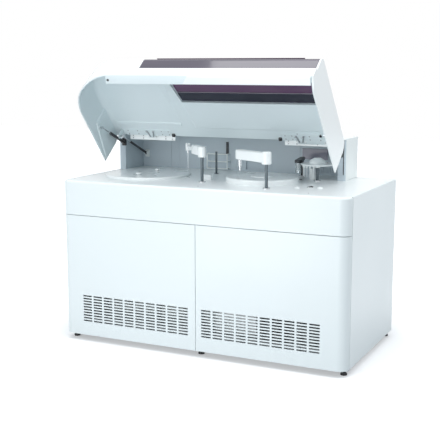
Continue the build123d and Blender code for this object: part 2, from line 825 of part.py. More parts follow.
def rear_housing():
    # Two hollow towers and the wall between them, standing on the back of the deck.
    low, high = deck_height, cover_bottom
    body = box_between(-half_width, tower_right, tower_front, back_face, low, high)
    corner = [e for e in body.edges().filter_by(Axis.Z)]
    body = fillet(corner, 8)
    body -= box_between(tower_inner_left, tower_inner_right, tower_front - 1, inner_back, low - 1, high + 1)
    for x0 in (-half_width, tower_inner_right):
        body -= box_between(x0 + sheet, x0 + tower_width - sheet, tower_front + sheet, back_face - sheet,
                            low - 1, high - sheet)
    # Recesses and joints of the wall's inner face.
    body -= box_between(-78, 37, inner_back - 1, inner_back + 8, 904, 952)
    for x in (-578, -526, 262, 470):
        body -= box_between(x - 1, x + 1, inner_back - 1, inner_back + 2, low - 1, high + 1)
    ribs = [box_between(x, x + 5, inner_back - 1, inner_back + 6, low + 14, 936) for x in range(378, 468, 11)]
    return one(body.cut(*ribs))


def rear_top_cover():
    # Flat cover over the towers, with a folded front lip between them.
    plate = box_between(-half_width, tower_right, cover_front, back_face, cover_bottom, housing_top)
    plate = fillet(plate.edges().filter_by(Axis.Z), 8)
    plate = fillet(plate.edges().group_by(Axis.Z)[-1], 3)
    return one(plate)


ear_gap = 0.5
ear_thick = 7
knuckle_length = 40
rail_back = 190
rail_left = (-741, -438)
rail_right = (249, 520)


def hinge_ear(x0, x1):
    # An ear that reaches from the rail to the pin.
    profile = make_hull([*(Pos(hinge_y, hinge_z) * Circle(hinge_knuckle)).edges(),
                         *(Pos(rail_back + 1, cover_bottom - 12) * Rectangle(2, 18)).edges()])
    return Plane.YZ.offset(x0) * extrude(profile, x1 - x0)


def hinge_brackets():
    # Angle rails under the cover, with ears and fixed pins for the hood.
    pieces = []
    for x, (x0, x1) in ((hinge_left_x, rail_left), (hinge_right_x, rail_right)):
        leg = box_between(x0, x1, rail_back, rail_back + 3, cover_bottom - 40, cover_bottom)
        seat = box_between(x0, x1, rail_back, rail_back + 50, cover_bottom - 3, cover_bottom)
        half = knuckle_length / 2 + ear_gap
        bracket = leg + seat
        for near in (x - half - ear_thick, x + half):
            bracket += hinge_ear(near, near + ear_thick)
        bracket += across(x - half - ear_thick, x + half + ear_thick, hinge_y, hinge_z, hinge_pin)
        pieces.append(one(bracket))
    return group(pieces)


def hood_body(inset, band_inset, top_inset, low, rear):
    # Outline of the hood in plan, raised to its full height, with the proud band at the front.
    left, right = hood_left + inset, hood_right - (end_cap if inset else 0)
    if inset > hood_skin:
        right -= liner_skin
    rear_y = hood_back + rear
    front_y = hood_back - hood_length + hood_band_proud + inset
    band_y = hood_back - hood_length + band_inset
    top = hood_base + hood_height - top_inset
    round_top = hood_top_round - top_inset
    upper = plan_block(left, right, front_y, rear_y, hood_corner - hood_band_proud - inset, low, top, round_top)
    band_top = hood_base + hood_band_top - (8 if inset else 0)
    band = plan_block(left, right, band_y, rear_y, hood_corner - band_inset, low, band_top, 8)
    return upper + band


def plan_block(left, right, front_y, rear_y, corner, low, top, top_round):
    # An upright block with one large rounded front corner and a rounded top edge.
    body = box_between(left, right, front_y, rear_y, low, top)
    upright_edge = [e for e in body.edges().filter_by(Axis.Z)
                    if abs(e.center().X - left) < 0.1 and abs(e.center().Y - front_y) < 0.1]
    body = fillet(upright_edge, corner)
    rim = [e for e in body.edges().group_by(Axis.Z)[-1]
           if abs(e.center().X - right) > 0.1 and abs(e.center().Y - rear_y) > 0.1]
    return fillet(rim, top_round)


def hood_profile():
    # Side outline: rounded rear top corner, and the rim that lifts towards the front.
    z = hood_base
    y = hood_back
    lip = y - lip_start
    front_y = y - hood_length
    points = [(y, z), (y, z + 150)]
    outline = Line(points[0], points[1])
    corner = (y - 30, z + hood_height)
    outline += RadiusArc(points[1], corner, -90)
    outline += Polyline(corner, (corner[0], z + hood_height + 50), (front_y - 50, z + hood_height + 50),
                        (front_y - 50, z + hood_lip_height), (front_y, z + hood_lip_height))
    outline += RadiusArc((front_y, z + hood_lip_height), (lip, z), -180)
    outline += Line((lip, z), (y, z))
    face = make_face(outline)
    return Plane.YZ.offset(-half_width - 20) * extrude(face, cabinet_width + 40)


def window_region():
    # Plan outline of the window, whose left edge slants.
    z0, z1 = hood_base + hood_band_top, hood_base + hood_height + 10
    near = hood_back - hood_length - 10
    far = hood_back - window_back
    right = hood_right - window_right_land
    plan = Polygon((window_left - 30, near), (right, near), (right, far), (window_left + 80, far), align=None)
    return Pos(0, 0, z0) * extrude(plan, z1 - z0)


def liner_window_region():
    z0, z1 = hood_base + hood_band_top, hood_base + hood_height + 10
    near = hood_back - hood_length - 10
    far = hood_back - window_back
    left, right = liner_window_left, hood_right - liner_window_right_land
    plan = Polygon((left - 45, near), (right, near), (right, far), (left + 12, far), align=None)
    return Pos(0, 0, z0) * extrude(plan, z1 - z0)


def hood_parts():
    # Shell, window and liner of the hood, closed and then opened.
    profile = hood_profile()
    outer = hood_body(0, 0, 0, hood_base - 1, 0) & profile
    cavity = hood_body(hood_skin, hood_skin, hood_skin, hood_base - 90, 60)
    trim = box_between(hood_left + hood_skin, hood_right - end_cap, hood_back - hood_top_start,
                       hood_back + 20, hood_base - 90, hood_base + hood_height + 20)
    skin = outer - cavity - trim
    region = window_region()
    shell = skin - region
    window = skin & region
    inner = hood_body(hood_skin + liner_skin, hood_skin + liner_skin, hood_skin + liner_skin, hood_base - 100, 70)
    liner = (cavity & profile) - inner - trim - liner_window_region()
    rim_cut = box_between(hood_left, hood_right, hood_back - hood_length - 20, hood_back + 20,
                          hood_base - 100, hood_base + 5)
    liner = liner - rim_cut
    return one(opened(shell)), one(opened(window)), one(opened(liner))


def leaf(x, x0, x1):
    # Long flat leaf under the hood's top, with the knuckle on the hinge pin.
    under = hood_base + hood_height - hood_skin - liner_skin
    rear = hood_back - hood_top_start
    plate = box_between(x0, x1, rear - 44, rear, under - 3, under)
    arm = box_between(x - knuckle_length / 2, x + knuckle_length / 2, rear - 10, hinge_y, under - 5, under)
    knuckle = across(x - knuckle_length / 2, x + knuckle_length / 2, hinge_y, hinge_z, hinge_knuckle)
    bore = across(x - knuckle_length, x + knuckle_length, hinge_y, hinge_z, hinge_pin + running)
    return plate + arm + knuckle - bore


def hinge_leaves():
    return opened(group([leaf(hinge_left_x, rail_left[0], rail_left[1]),
                         leaf(hinge_right_x, rail_right[0], hood_right - 60)]))


def spring_places():
    # For both struts: side, X of the strut, low pivot, hood pivot when closed.
    places = []
    for side, edge in ((-1, -half_width), (1, hood_right)):
        spring = ("gas_spring", side, edge - side * spring_x_inset, (spring_low_y, spring_low_z),
                  (hood_back - spring_up_along, hood_base + spring_up_high))
        damper = ("damper", side, edge - side * damper_x_inset, (damper_low_y, damper_low_z),
                  (hood_back - damper_up_along, hood_base + damper_up_high))
        places.append(spring)
        if side < 0:
            places.append(damper)
    return places


def strut_frame(x, low, closed_up):
    # Plane at the low pivot with its normal along the strut when the hood is open.
    up = opened_point(*closed_up)
    dy, dz = up[0] - low[0], up[1] - low[1]
    length = math.hypot(dy, dz)
    return Plane(origin=(x, low[0], low[1]), x_dir=(1, 0, 0), z_dir=(0, dy / length, dz / length)), length


def turned_eye(z, radius, width, bore=0):
    eye = Pos(0, 0, z) * Rot(0, 90, 0) * Cylinder(radius, width)
    if bore:
        eye -= Pos(0, 0, z) * Rot(0, 90, 0) * Cylinder(bore, width + 2)
    return eye


def strut_case(x, low, up, case_length, case_radius, rod_radius):
    # Eye, neck and tube with the gland that guides the rod.
    frame, _ = strut_frame(x, low, up)
    neck_top = eye_radius + 8
    tube_part = Pos(0, 0, (neck_top + case_length) / 2) * Cylinder(case_radius, case_length - neck_top)
    tube_part = chamfer(tube_part.edges().filter_by(GeomType.CIRCLE), 1.5)
    neck = Pos(0, 0, (neck_top + 2) / 2) * Cylinder(strut_neck, neck_top + 2)
    body = tube_part + neck + turned_eye(0, eye_radius, eye_width)
    body -= turned_eye(0, strut_pin + running, eye_width + 2)
    bore_low = neck_top + 4
    body -= Pos(0, 0, (bore_low + case_length + 1) / 2) * Cylinder(rod_radius + running, case_length + 1 - bore_low)
    return one(frame * body)


def strut_rod(x, side, low, up, case_length, rod_radius, pin_reach):
    # Rod with a flat eye and a pin that ends just short of its seat on the hood.
    frame, length = strut_frame(x, low, up)
    start = case_length - 78
    rod = Pos(0, 0, (start + length - 4) / 2) * Cylinder(rod_radius, length - 4 - start)
    eye = turned_eye(length, eye_radius - 1, eye_width)
    reach = side * (eye_width / 2 + pin_reach)
    x0, x1 = sorted((0, reach))
    pin = Pos((x0 + x1) / 2, 0, length) * Rot(0, 90, 0) * Cylinder(strut_pin, x1 - x0)
    return one(frame * (rod + eye + pin))


pin_reach_spring = 8.5
pin_reach_damper = 11
stud_radius = 14
seat_foot = 10


def strut_mounts():
    # Clevises on the towers and on the back wall, each with its fixed pin.
    pieces = []
    cheek = 4
    side_play = 0.3
    for kind, side, x, (y, z), _ in spring_places():
        seat = tower_front if kind == "gas_spring" else inner_back
        base = box_between(x - 14, x + 14, seat - 6, seat, z - 24, z + 20)
        base = fillet(base.edges().filter_by(Axis.Y), 4)
        for s in (-1, 1):
            x0, x1 = sorted((x + s * (eye_width / 2 + side_play), x + s * (eye_width / 2 + side_play + cheek)))
            profile = make_hull([*(Pos(y, z) * Circle(eye_radius)).edges(),
                                 *(Pos(seat - 5, z) * Rectangle(2, 2 * eye_radius + 6)).edges()])
            base += Plane.YZ.offset(x0) * extrude(profile, x1 - x0)
        reach = eye_width / 2 + side_play + cheek + 1
        base += across(x - reach, x + reach, y, z, strut_pin)
        pieces.append(one(base))
    return group(pieces)


def hood_strut_seats():
    # Round seats on the hood's ends for the springs, and plates under its top for the dampers.
    pieces = []
    inner = hood_skin + liner_skin
    for kind, side, x, _, (y, z) in spring_places():
        if kind == "gas_spring":
            wall = hood_left + inner if side < 0 else hood_right - end_cap - liner_skin
            face = x + side * (eye_width / 2 + pin_reach_spring + clear)
            x0, x1 = sorted((wall, face))
            pieces.append(across(x0, x1, y, z, stud_radius))
        else:
            face = x + side * (eye_width / 2 + pin_reach_damper + clear)
            x0, x1 = sorted((face, face + side * 4))
            top = hood_base + hood_height - inner
            plate = box_between(x0, x1, y - 14, y + 14, z - 12, top)
            low_edges = plate.edges().filter_by(Axis.X).group_by(Axis.Z)[0]
            plate = fillet(low_edges, 10)
            f0, f1 = sorted((face, face + side * seat_foot))
            plate += box_between(f0, f1, y - 20, y + 20, top - 3, top)
            pieces.append(plate)
    return opened(group(pieces))


def hood_bumpers():
    # Rubber stops under the hood's rear edge.
    under = hood_base + hood_height - hood_skin - liner_skin
    y = hood_back - hood_top_start - 10
    pieces = []
    for x in (rail_left[1] + 12, rail_right[0] - 12):
        stop = box_between(x - 8, x + 8, y - 8, y + 8, under - 14, under)
        pieces.append(fillet(stop.edges().group_by(Axis.Z)[0], 3))
    return opened(group(pieces))


def fluid_containers():
    # Four canisters with a neck and cap, standing in the pan behind the left door.
    pieces = []
    low = rail_height + tube + sheet
    for x in (-670, -490, -310, -130):
        tall = 330
        body = Pos(x, 60, low) * extrude(RectangleRounded(160, 300, 24), tall)
        body = fillet(body.edges().group_by(Axis.Z)[-1], 18)
        handle = box_between(x - 12, x + 12, -30, 90, low + tall - 4, low + tall + 34)
        handle = fillet(handle.edges().filter_by(Axis.X).group_by(Axis.Z)[-1], 12)
        handle -= box_between(x - 13, x + 13, -8, 68, low + tall, low + tall + 20)
        neck = upright(x, 140, low + tall - 1, low + tall + 12, 26)
        cap = upright(x, 140, low + tall + 12, low + tall + 34, 31)
        pieces.append(body + handle + neck + cap)
    return group(pieces)


def electronics_rack():
    # Card cage with boards seated in its back plane.
    low = rail_height + tube + sheet
    x0, x1, y0, y1, z1 = 60, 400, 60, 360, low + 300
    cage = box_between(x0, x1, y0, y1, low, z1)
    cage -= box_between(x0 + sheet, x1 - sheet, y0 - 1, y1 - sheet, low + sheet, z1 - sheet)
    boards = [box_between(x0 + 30 + i * 40, x0 + 33 + i * 40, y0 + 20, y1 - sheet, low + sheet, z1 - sheet)
              for i in range(8)]
    return one(cage.fuse(*boards))


def power_supply():
    low = rail_height + tube + sheet
    case = box_between(60, 300, -310, -40, low, low + 130)
    case = fillet(case.edges().filter_by(Axis.Z), 4)
    slots = [box_between(80 + i * 22, 92 + i * 22, -311, -307, low + 30, low + 100) for i in range(9)]
    return one(case.cut(*slots))


def refrigeration_unit():
    # Compressor can and a finned condenser on one base plate.
    low = rail_height + tube + sheet
    base = box_between(450, 740, -280, 320, low, low + 6)
    can = upright(590, -150, low + 6, low + 190, 85)
    can = fillet(can.edges().group_by(Axis.Z)[-1], 45)
    can += upright(590, -150, low + 6, low + 16, 95)
    fins = [box_between(470, 720, 40 + i * 20, 43 + i * 20, low + 6, low + 260) for i in range(12)]
    frame = box_between(462, 470, 30, 275, low + 6, low + 266) + box_between(720, 728, 30, 275, low + 6, low + 266)
    frame += box_between(470, 720, 30, 275, low + 260, low + 266)
    return one(base.fuse(can, frame, *fins))


def rear_connectors():
    # Mains inlet and a block of fluid ports, flush with the rear panel.
    skin_back = back - 0.5
    inlet = box_between(inlet_x - inlet_width / 2 + clear, inlet_x + inlet_width / 2 - clear, back - 30,
                        skin_back, inlet_z - inlet_height / 2 + clear, inlet_z + inlet_height / 2 - clear)
    flange = box_between(inlet_x - inlet_width / 2 - 6, inlet_x + inlet_width / 2 + 6, back - sheet - 3,
                         back - sheet, inlet_z - inlet_height / 2 - 6, inlet_z + inlet_height / 2 + 6)
    socket = box_between(inlet_x - 12, inlet_x + 12, back - 18, back + 1, inlet_z - 8, inlet_z + 8)
    inlet = inlet + flange - socket
    for dx, dz in ((-7, -3), (0, 3), (7, -3)):
        inlet += Pos(inlet_x + dx, back - 12, inlet_z + dz) * Box(2, 14, 4)
    ports = box_between(port_x - port_width / 2 + clear, port_x + port_width / 2 - clear, back - 24,
                        skin_back, inlet_z - inlet_height / 2 + clear, inlet_z + inlet_height / 2 - clear)
    ports += box_between(port_x - port_width / 2 - 6, port_x + port_width / 2 + 6, back - sheet - 3,
                         back - sheet, inlet_z - inlet_height / 2 - 6, inlet_z + inlet_height / 2 + 6)
    for i in range(4):
        x = port_x - 45 + i * 30
        ports -= Pos(x, back - 8, inlet_z) * Rot(90, 0, 0) * Cylinder(9, 18)
        ports += Pos(x, back - 10, inlet_z) * Rot(90, 0, 0) * Cylinder(4, 16)
    return group([inlet, ports])


place_sample, place_reagent, place_mixer, place_wash = drives()
shell_part, window_part, liner_part = hood_parts()
parts = {
    "chassis_frame": chassis(),
    "base_pan": floor_pan(),
    "levelling_feet": feet(),
    "side_panel_left": side_panel(-1),
    "side_panel_right": side_panel(1),
    "rear_panel": rear_panel(),
    "front_fascia": front_fascia(),
    "door_pivots": door_pivots(),
    "door_left": door(-1),
    "door_right": door(1),
    "deck_plate": deck_plate(),
    "side_shelf": side_shelf(),
    "wash_wells": wash_wells(),
    "carousel_tubs": group([tub(sample_x, sample_y, sample_tub_radius, sample_floor),
                            tub(reaction_x, reaction_y, reaction_tub_radius, reaction_floor)]),
    "carousel_motors": motors(),
    "sample_carousel": sample_carousel(),
    "sample_tubes": sample_vessels(),
    "reagent_bottles": reagent_set(),
    "sample_lid": sample_lid(),
    "reaction_carousel": reaction_rotor(),
    "cuvettes": cuvettes(),
    "reaction_cover": reaction_cover(),
    "arm_guides": arm_guides(),
    "sample_arm_carriage": carriage(place_sample, carriage_z),
    "sample_arm_post": arm_shaft(place_sample, carriage_z, sample_arm_bottom + 30),
    "sample_arm_cover": sample_arm_cover(),
    "sample_probe": sample_probe(),
    "reagent_arm_carriage": carriage(place_reagent, carriage_z + 20),
    "reagent_arm_post": arm_shaft(place_reagent, carriage_z + 20, reagent_arm_bottom + 30),
    "reagent_arm_cover": reagent_arm_cover(),
    "reagent_probe": reagent_probe(),
    "mixer_carriage": carriage(place_mixer, carriage_z),
    "mixer_arm": mixer_arm(),
    "mixer_guard": mixer_guard(),
    "mixer_paddle": mixer_paddle(),
    "wash_lift_post": wash_rod(),
    "wash_head": wash_head(),
    "wash_station_column": wash_station_column(),
    "deck_fittings": deck_fittings(),
    "rear_housing": rear_housing(),
    "rear_top_cover": rear_top_cover(),
    "hinge_brackets": hinge_brackets(),
    "strut_mounts": strut_mounts(),
    "hood_shell": shell_part,
    "hood_window": window_part,
    "hood_liner": liner_part,
    "hood_hinge_leaves": hinge_leaves(),
    "hood_strut_seats": hood_strut_seats(),
    "hood_bumpers": hood_bumpers(),
    "fluid_containers": fluid_containers(),
    "electronics_rack": electronics_rack(),
    "power_supply": power_supply(),
    "refrigeration_unit": refrigeration_unit(),
    "rear_connectors": rear_connectors(),
}
strut_sizes = {"gas_spring": (spring_case_length, spring_case_radius, spring_rod_radius, pin_reach_spring),
               "damper": (damper_case_length, damper_case_radius, damper_rod_radius, pin_reach_damper)}
side_names = {-1: "left", 1: "right"}
for kind, side, x, low, up in spring_places():
    case_length, case_radius, rod_radius, reach = strut_sizes[kind]
    name = kind + "_{}_" + side_names[side]
    parts[name.format("case")] = strut_case(x, low, up, case_length, case_radius, rod_radius)
    parts[name.format("rod")] = strut_rod(x, side, low, up, case_length, rod_radius, reach)

for name, shape in parts.items():
    shape.label = name
    export_step(shape, f"parts/{name}.step")
print(len(parts), "nodes")
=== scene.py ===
import math
import bmesh
import bpy
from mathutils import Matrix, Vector


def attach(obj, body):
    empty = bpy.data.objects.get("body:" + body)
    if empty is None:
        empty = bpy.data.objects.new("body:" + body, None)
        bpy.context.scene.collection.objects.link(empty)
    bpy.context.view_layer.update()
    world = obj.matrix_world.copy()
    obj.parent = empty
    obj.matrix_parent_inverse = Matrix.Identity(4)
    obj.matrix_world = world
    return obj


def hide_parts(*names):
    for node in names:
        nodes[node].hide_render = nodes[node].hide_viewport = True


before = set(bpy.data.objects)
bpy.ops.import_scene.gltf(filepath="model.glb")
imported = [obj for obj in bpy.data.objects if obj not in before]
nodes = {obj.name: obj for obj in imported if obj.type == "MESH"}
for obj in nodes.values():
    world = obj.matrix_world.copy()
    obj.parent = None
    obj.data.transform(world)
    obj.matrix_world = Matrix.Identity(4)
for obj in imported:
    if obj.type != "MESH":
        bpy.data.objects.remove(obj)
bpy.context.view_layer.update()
scene = bpy.context.scene
scene.view_settings.view_transform = "Standard"
print("frame loaded with", len(nodes), "nodes")


# Small helpers for node trees

def newGroup(name, inputs, outputs):
    # inputs and outputs: (name, socket type, default)
    group = bpy.data.node_groups.new(name, "ShaderNodeTree")
    for label, kind, value in inputs:
        socket = group.interface.new_socket(label, in_out="INPUT", socket_type=kind)
        if value is not None:
            socket.default_value = value
    for label, kind in outputs:
        group.interface.new_socket(label, in_out="OUTPUT", socket_type=kind)
    enter = group.nodes.new("NodeGroupInput")
    leave = group.nodes.new("NodeGroupOutput")
    return group, enter, leave


def noiseNode(tree, vector, scale, detail=2.0):
    noise = tree.nodes.new("ShaderNodeTexNoise")
    noise.inputs["Detail"].default_value = detail
    tree.links.new(vector, noise.inputs["Vector"])
    if isinstance(scale, (int, float)):
        noise.inputs["Scale"].default_value = scale
    else:
        tree.links.new(scale, noise.inputs["Scale"])
    return noise.outputs["Fac"]


def mathNode(tree, operation, first, second):
    node = tree.nodes.new("ShaderNodeMath")
    node.operation = operation
    for socket, value in zip(node.inputs, (first, second)):
        if isinstance(value, (int, float)):
            socket.default_value = value
        else:
            tree.links.new(value, socket)
    return node.outputs[0]


def mixColour(tree, factor, first, second):
    node = tree.nodes.new("ShaderNodeMix")
    node.data_type = "RGBA"
    sockets = (node.inputs[0], node.inputs[6], node.inputs[7])
    for socket, value in zip(sockets, (factor, first, second)):
        if isinstance(value, bpy.types.NodeSocket):
            tree.links.new(value, socket)
        else:
            socket.default_value = value
    return node.outputs[2]


# Camera, lights, floor

camera = {"place": (2.1203, -4.5413, 1.5068), "tilt": 80.473, "turn": 25.617, "lens": 75.29}


def makeCamera(look):
    data = bpy.data.cameras.new("viewCamera")
    data.lens = look["lens"]
    data.sensor_width = 36
    data.clip_end = 60
    eye = bpy.data.objects.new("viewCamera", data)
    eye.location = look["place"]
    eye.rotation_euler = (math.radians(look["tilt"]), 0, math.radians(look["turn"]))
    scene.collection.objects.link(eye)
    scene.camera = eye


makeCamera(camera)

lamps = {
    "overhead": {"place": (0.2, -1.0, 4.6), "aim": (0.1, 0.0, 0.9), "size": 3.6, "power": 108,
                 "tint": (1, 1, 1)},
    "frontFill": {"place": (-2.4, -5.2, 3.0), "aim": (0, 0, 0.7), "size": 3.2, "power": 70,
                  "tint": (0.98, 0.995, 1)},
    "rightTop": {"place": (2.7, -0.2, 2.5), "aim": (0.82, 0.0, 0.8), "size": 1.4, "power": 22,
                 "tint": (1, 1, 1)},
    "underHood": {"place": (-0.2, -2.6, 0.5), "aim": (0, 0.0, 1.35), "size": 1.6, "power": 22,
                  "tint": (1, 1, 1)},
}


def makeLamp(name, look):
    data = bpy.data.lights.new(name, "AREA")
    data.shape = "SQUARE"
    data.size = look["size"]
    data.energy = look["power"]
    data.color = look["tint"]
    lamp = bpy.data.objects.new(name, data)
    lamp.location = look["place"]
    away = Vector(look["place"]) - Vector(look["aim"])
    lamp.rotation_euler = away.to_track_quat("Z", "Y").to_euler()
    scene.collection.objects.link(lamp)


for lampName, lampLook in lamps.items():
    makeLamp(lampName, lampLook)

surroundings = {"light": (0.80, 0.88, 0.95, 1), "lightStrength": 0.50, "seen": (1, 1, 1, 1)}


def makeWorld(look):
    world = bpy.data.worlds.new("studio")
    scene.world = world
    world.use_nodes = True
    tree = world.node_tree
    tree.nodes.clear()
    out = tree.nodes.new("ShaderNodeOutputWorld")
    mix = tree.nodes.new("ShaderNodeMixShader")
    soft = tree.nodes.new("ShaderNodeBackground")
    soft.inputs["Color"].default_value = look["light"]
    soft.inputs["Strength"].default_value = look["lightStrength"]
    seen = tree.nodes.new("ShaderNodeBackground")
    seen.inputs["Color"].default_value = look["seen"]
    ray = tree.nodes.new("ShaderNodeLightPath")
    glossy = tree.nodes.new("ShaderNodeMath")
    glossy.operation = "MAXIMUM"
    clear = tree.nodes.new("ShaderNodeMath")
    clear.operation = "MAXIMUM"
    tree.links.new(ray.outputs["Is Camera Ray"], glossy.inputs[0])
    tree.links.new(ray.outputs["Is Glossy Ray"], glossy.inputs[1])
    tree.links.new(glossy.outputs[0], clear.inputs[0])
    tree.links.new(ray.outputs["Is Transmission Ray"], clear.inputs[1])
    tree.links.new(clear.outputs[0], mix.inputs[0])
    tree.links.new(soft.outputs[0], mix.inputs[1])
    tree.links.new(seen.outputs[0], mix.inputs[2])
    tree.links.new(mix.outputs[0], out.inputs["Surface"])


makeWorld(surroundings)

floorLook = {"half": 14, "drop": 0.0008, "seen": (0.86, 0.87, 0.88, 1), "bounce": (0.42, 0.45, 0.48, 1),
             "near": 0.95, "far": 1.5, "glowNear": 0.3, "glowFar": 1.0}


def makeFloor(look):
    half, z = look["half"], -look["drop"]
    mesh = bpy.data.meshes.new("studioFloor")
    corners = [(-half, -half, z), (half, -half, z), (half, half, z), (-half, half, z)]
    mesh.from_pydata(corners, [], [(0, 1, 2, 3)])
    floor = bpy.data.objects.new("studioFloor", mesh)
    scene.collection.objects.link(floor)
    material = bpy.data.materials.new("studioFloor")
    material.use_nodes = True
    tree = material.node_tree
    tree.nodes.clear()
    out = tree.nodes.new("ShaderNodeOutputMaterial")
    mix = tree.nodes.new("ShaderNodeMixShader")
    seen = tree.nodes.new("ShaderNodeBsdfDiffuse")
    seen.inputs["Color"].default_value = look["seen"]
    bounce = tree.nodes.new("ShaderNodeBsdfDiffuse")
    bounce.inputs["Color"].default_value = look["bounce"]
    # The floor glows white away from the object, so that its far edge doesn't show.
    place = tree.nodes.new("ShaderNodeTexCoord").outputs["Object"]
    reach = tree.nodes.new("ShaderNodeVectorMath")
    reach.operation = "LENGTH"
    tree.links.new(place, reach.inputs[0])
    fade = tree.nodes.new("ShaderNodeMapRange")
    for label, value in (("From Min", look["near"]), ("From Max", look["far"]), ("To Min", look["glowNear"]),
                         ("To Max", look["glowFar"])):
        fade.inputs[label].default_value = value
    tree.links.new(reach.outputs["Value"], fade.inputs["Value"])
    glow = tree.nodes.new("ShaderNodeEmission")
    tree.links.new(fade.outputs["Result"], glow.inputs["Strength"])
    both = tree.nodes.new("ShaderNodeAddShader")
    tree.links.new(seen.outputs[0], both.inputs[0])
    tree.links.new(glow.outputs[0], both.inputs[1])
    ray = tree.nodes.new("ShaderNodeLightPath")
    direct = mathNode(tree, "MAXIMUM", ray.outputs["Is Camera Ray"], ray.outputs["Is Glossy Ray"])
    direct = mathNode(tree, "MAXIMUM", direct, ray.outputs["Is Transmission Ray"])
    tree.links.new(direct, mix.inputs[0])
    tree.links.new(bounce.outputs[0], mix.inputs[1])
    tree.links.new(both.outputs[0], mix.inputs[2])
    tree.links.new(mix.outputs[0], out.inputs["Surface"])
    mesh.materials.append(material)


makeFloor(floorLook)
print("camera, lamps and floor made")


# Shader groups shared by the finishes

def makeCoatGroup():
    # Sprayed or moulded skin: faint cloudiness, fine orange peel, roughness that varies a little.
    group, enter, leave = newGroup(
        "coatSkin",
        [("Colour", "NodeSocketColor", (0.8, 0.8, 0.8, 1)), ("Shade", "NodeSocketColor", (0.7, 0.7, 0.7, 1)),
         ("Cloud Scale", "NodeSocketFloat", 3.0), ("Cloud Amount", "NodeSocketFloat", 0.3),
         ("Peel Scale", "NodeSocketFloat", 400.0), ("Roughness", "NodeSocketFloat", 0.35),
         ("Roughness Spread", "NodeSocketFloat", 0.1)],
        [("Colour", "NodeSocketColor"), ("Roughness", "NodeSocketFloat"), ("Height", "NodeSocketFloat")])
    place = group.nodes.new("ShaderNodeTexCoord").outputs["Object"]
    cloud = noiseNode(group, place, enter.outputs["Cloud Scale"], 3.0)
    amount = mathNode(group, "MULTIPLY", cloud, enter.outputs["Cloud Amount"])
    colour = mixColour(group, amount, enter.outputs["Colour"], enter.outputs["Shade"])
    peel = noiseNode(group, place, enter.outputs["Peel Scale"], 2.0)
    swing = mathNode(group, "SUBTRACT", cloud, 0.5)
    spread = mathNode(group, "MULTIPLY", swing, enter.outputs["Roughness Spread"])
    rough = mathNode(group, "ADD", spread, enter.outputs["Roughness"])
    group.links.new(colour, leave.inputs["Colour"])
    group.links.new(rough, leave.inputs["Roughness"])
    group.links.new(peel, leave.inputs["Height"])
    return group


def makeBrushedGroup():
    # Ground or drawn metal: streaks along one axis.
    group, enter, leave = newGroup(
        "brushedSkin",
        [("Colour", "NodeSocketColor", (0.6, 0.6, 0.6, 1)), ("Shade", "NodeSocketColor", (0.4, 0.4, 0.4, 1)),
         ("Stretch", "NodeSocketVector", (1, 1, 40)), ("Streak Scale", "NodeSocketFloat", 60.0),
         ("Roughness", "NodeSocketFloat", 0.3), ("Roughness Spread", "NodeSocketFloat", 0.25)],
        [("Colour", "NodeSocketColor"), ("Roughness", "NodeSocketFloat"), ("Height", "NodeSocketFloat")])
    place = group.nodes.new("ShaderNodeTexCoord").outputs["Object"]
    stretch = group.nodes.new("ShaderNodeVectorMath")
    stretch.operation = "MULTIPLY"
    group.links.new(place, stretch.inputs[0])
    group.links.new(enter.outputs["Stretch"], stretch.inputs[1])
    streak = noiseNode(group, stretch.outputs[0], enter.outputs["Streak Scale"], 4.0)
    colour = mixColour(group, streak, enter.outputs["Colour"], enter.outputs["Shade"])
    swing = mathNode(group, "SUBTRACT", streak, 0.5)
    spread = mathNode(group, "MULTIPLY", swing, enter.outputs["Roughness Spread"])
    rough = mathNode(group, "ADD", spread, enter.outputs["Roughness"])
    group.links.new(colour, leave.inputs["Colour"])
    group.links.new(rough, leave.inputs["Roughness"])
    group.links.new(streak, leave.inputs["Height"])
    return group


def makeDustGroup():
    # A thin film on faces that look up.
    group, enter, leave = newGroup(
        "dustFilm",
        [("Colour", "NodeSocketColor", (0.8, 0.8, 0.8, 1)),
         ("Dust", "NodeSocketColor", (0.75, 0.75, 0.74, 1)),
         ("Amount", "NodeSocketFloat", 0.1), ("Scale", "NodeSocketFloat", 9.0)],
        [("Colour", "NodeSocketColor"), ("Mask", "NodeSocketFloat")])
    geometry = group.nodes.new("ShaderNodeNewGeometry")
    split = group.nodes.new("ShaderNodeSeparateXYZ")
    group.links.new(geometry.outputs["Normal"], split.inputs[0])
    facing = mathNode(group, "MAXIMUM", split.outputs["Z"], 0.0)
    place = group.nodes.new("ShaderNodeTexCoord").outputs["Object"]
    patch = noiseNode(group, place, enter.outputs["Scale"], 5.0)
    film = mathNode(group, "MULTIPLY", facing, patch)
    mask = mathNode(group, "MULTIPLY", film, enter.outputs["Amount"])
    colour = mixColour(group, mask, enter.outputs["Colour"], enter.outputs["Dust"])
    group.links.new(colour, leave.inputs["Colour"])
    group.links.new(mask, leave.inputs["Mask"])
    return group


coatGroup = makeCoatGroup()
brushedGroup = makeBrushedGroup()
dustGroup = makeDustGroup()


def groupNode(tree, group, values):
    node = tree.nodes.new("ShaderNodeGroup")
    node.node_tree = group
    for label, value in values.items():
        node.inputs[label].default_value = value
    return node


def blankMaterial(name):
    material = bpy.data.materials.new(name)
    material.use_nodes = True
    shader = material.node_tree.nodes["Principled BSDF"]
    return material, material.node_tree, shader


def bumpFrom(tree, height, strength, distance, shader):
    bump = tree.nodes.new("ShaderNodeBump")
    bump.inputs["Strength"].default_value = strength
    bump.inputs["Distance"].default_value = distance
    tree.links.new(height, bump.inputs["Height"])
    tree.links.new(bump.outputs["Normal"], shader.inputs["Normal"])


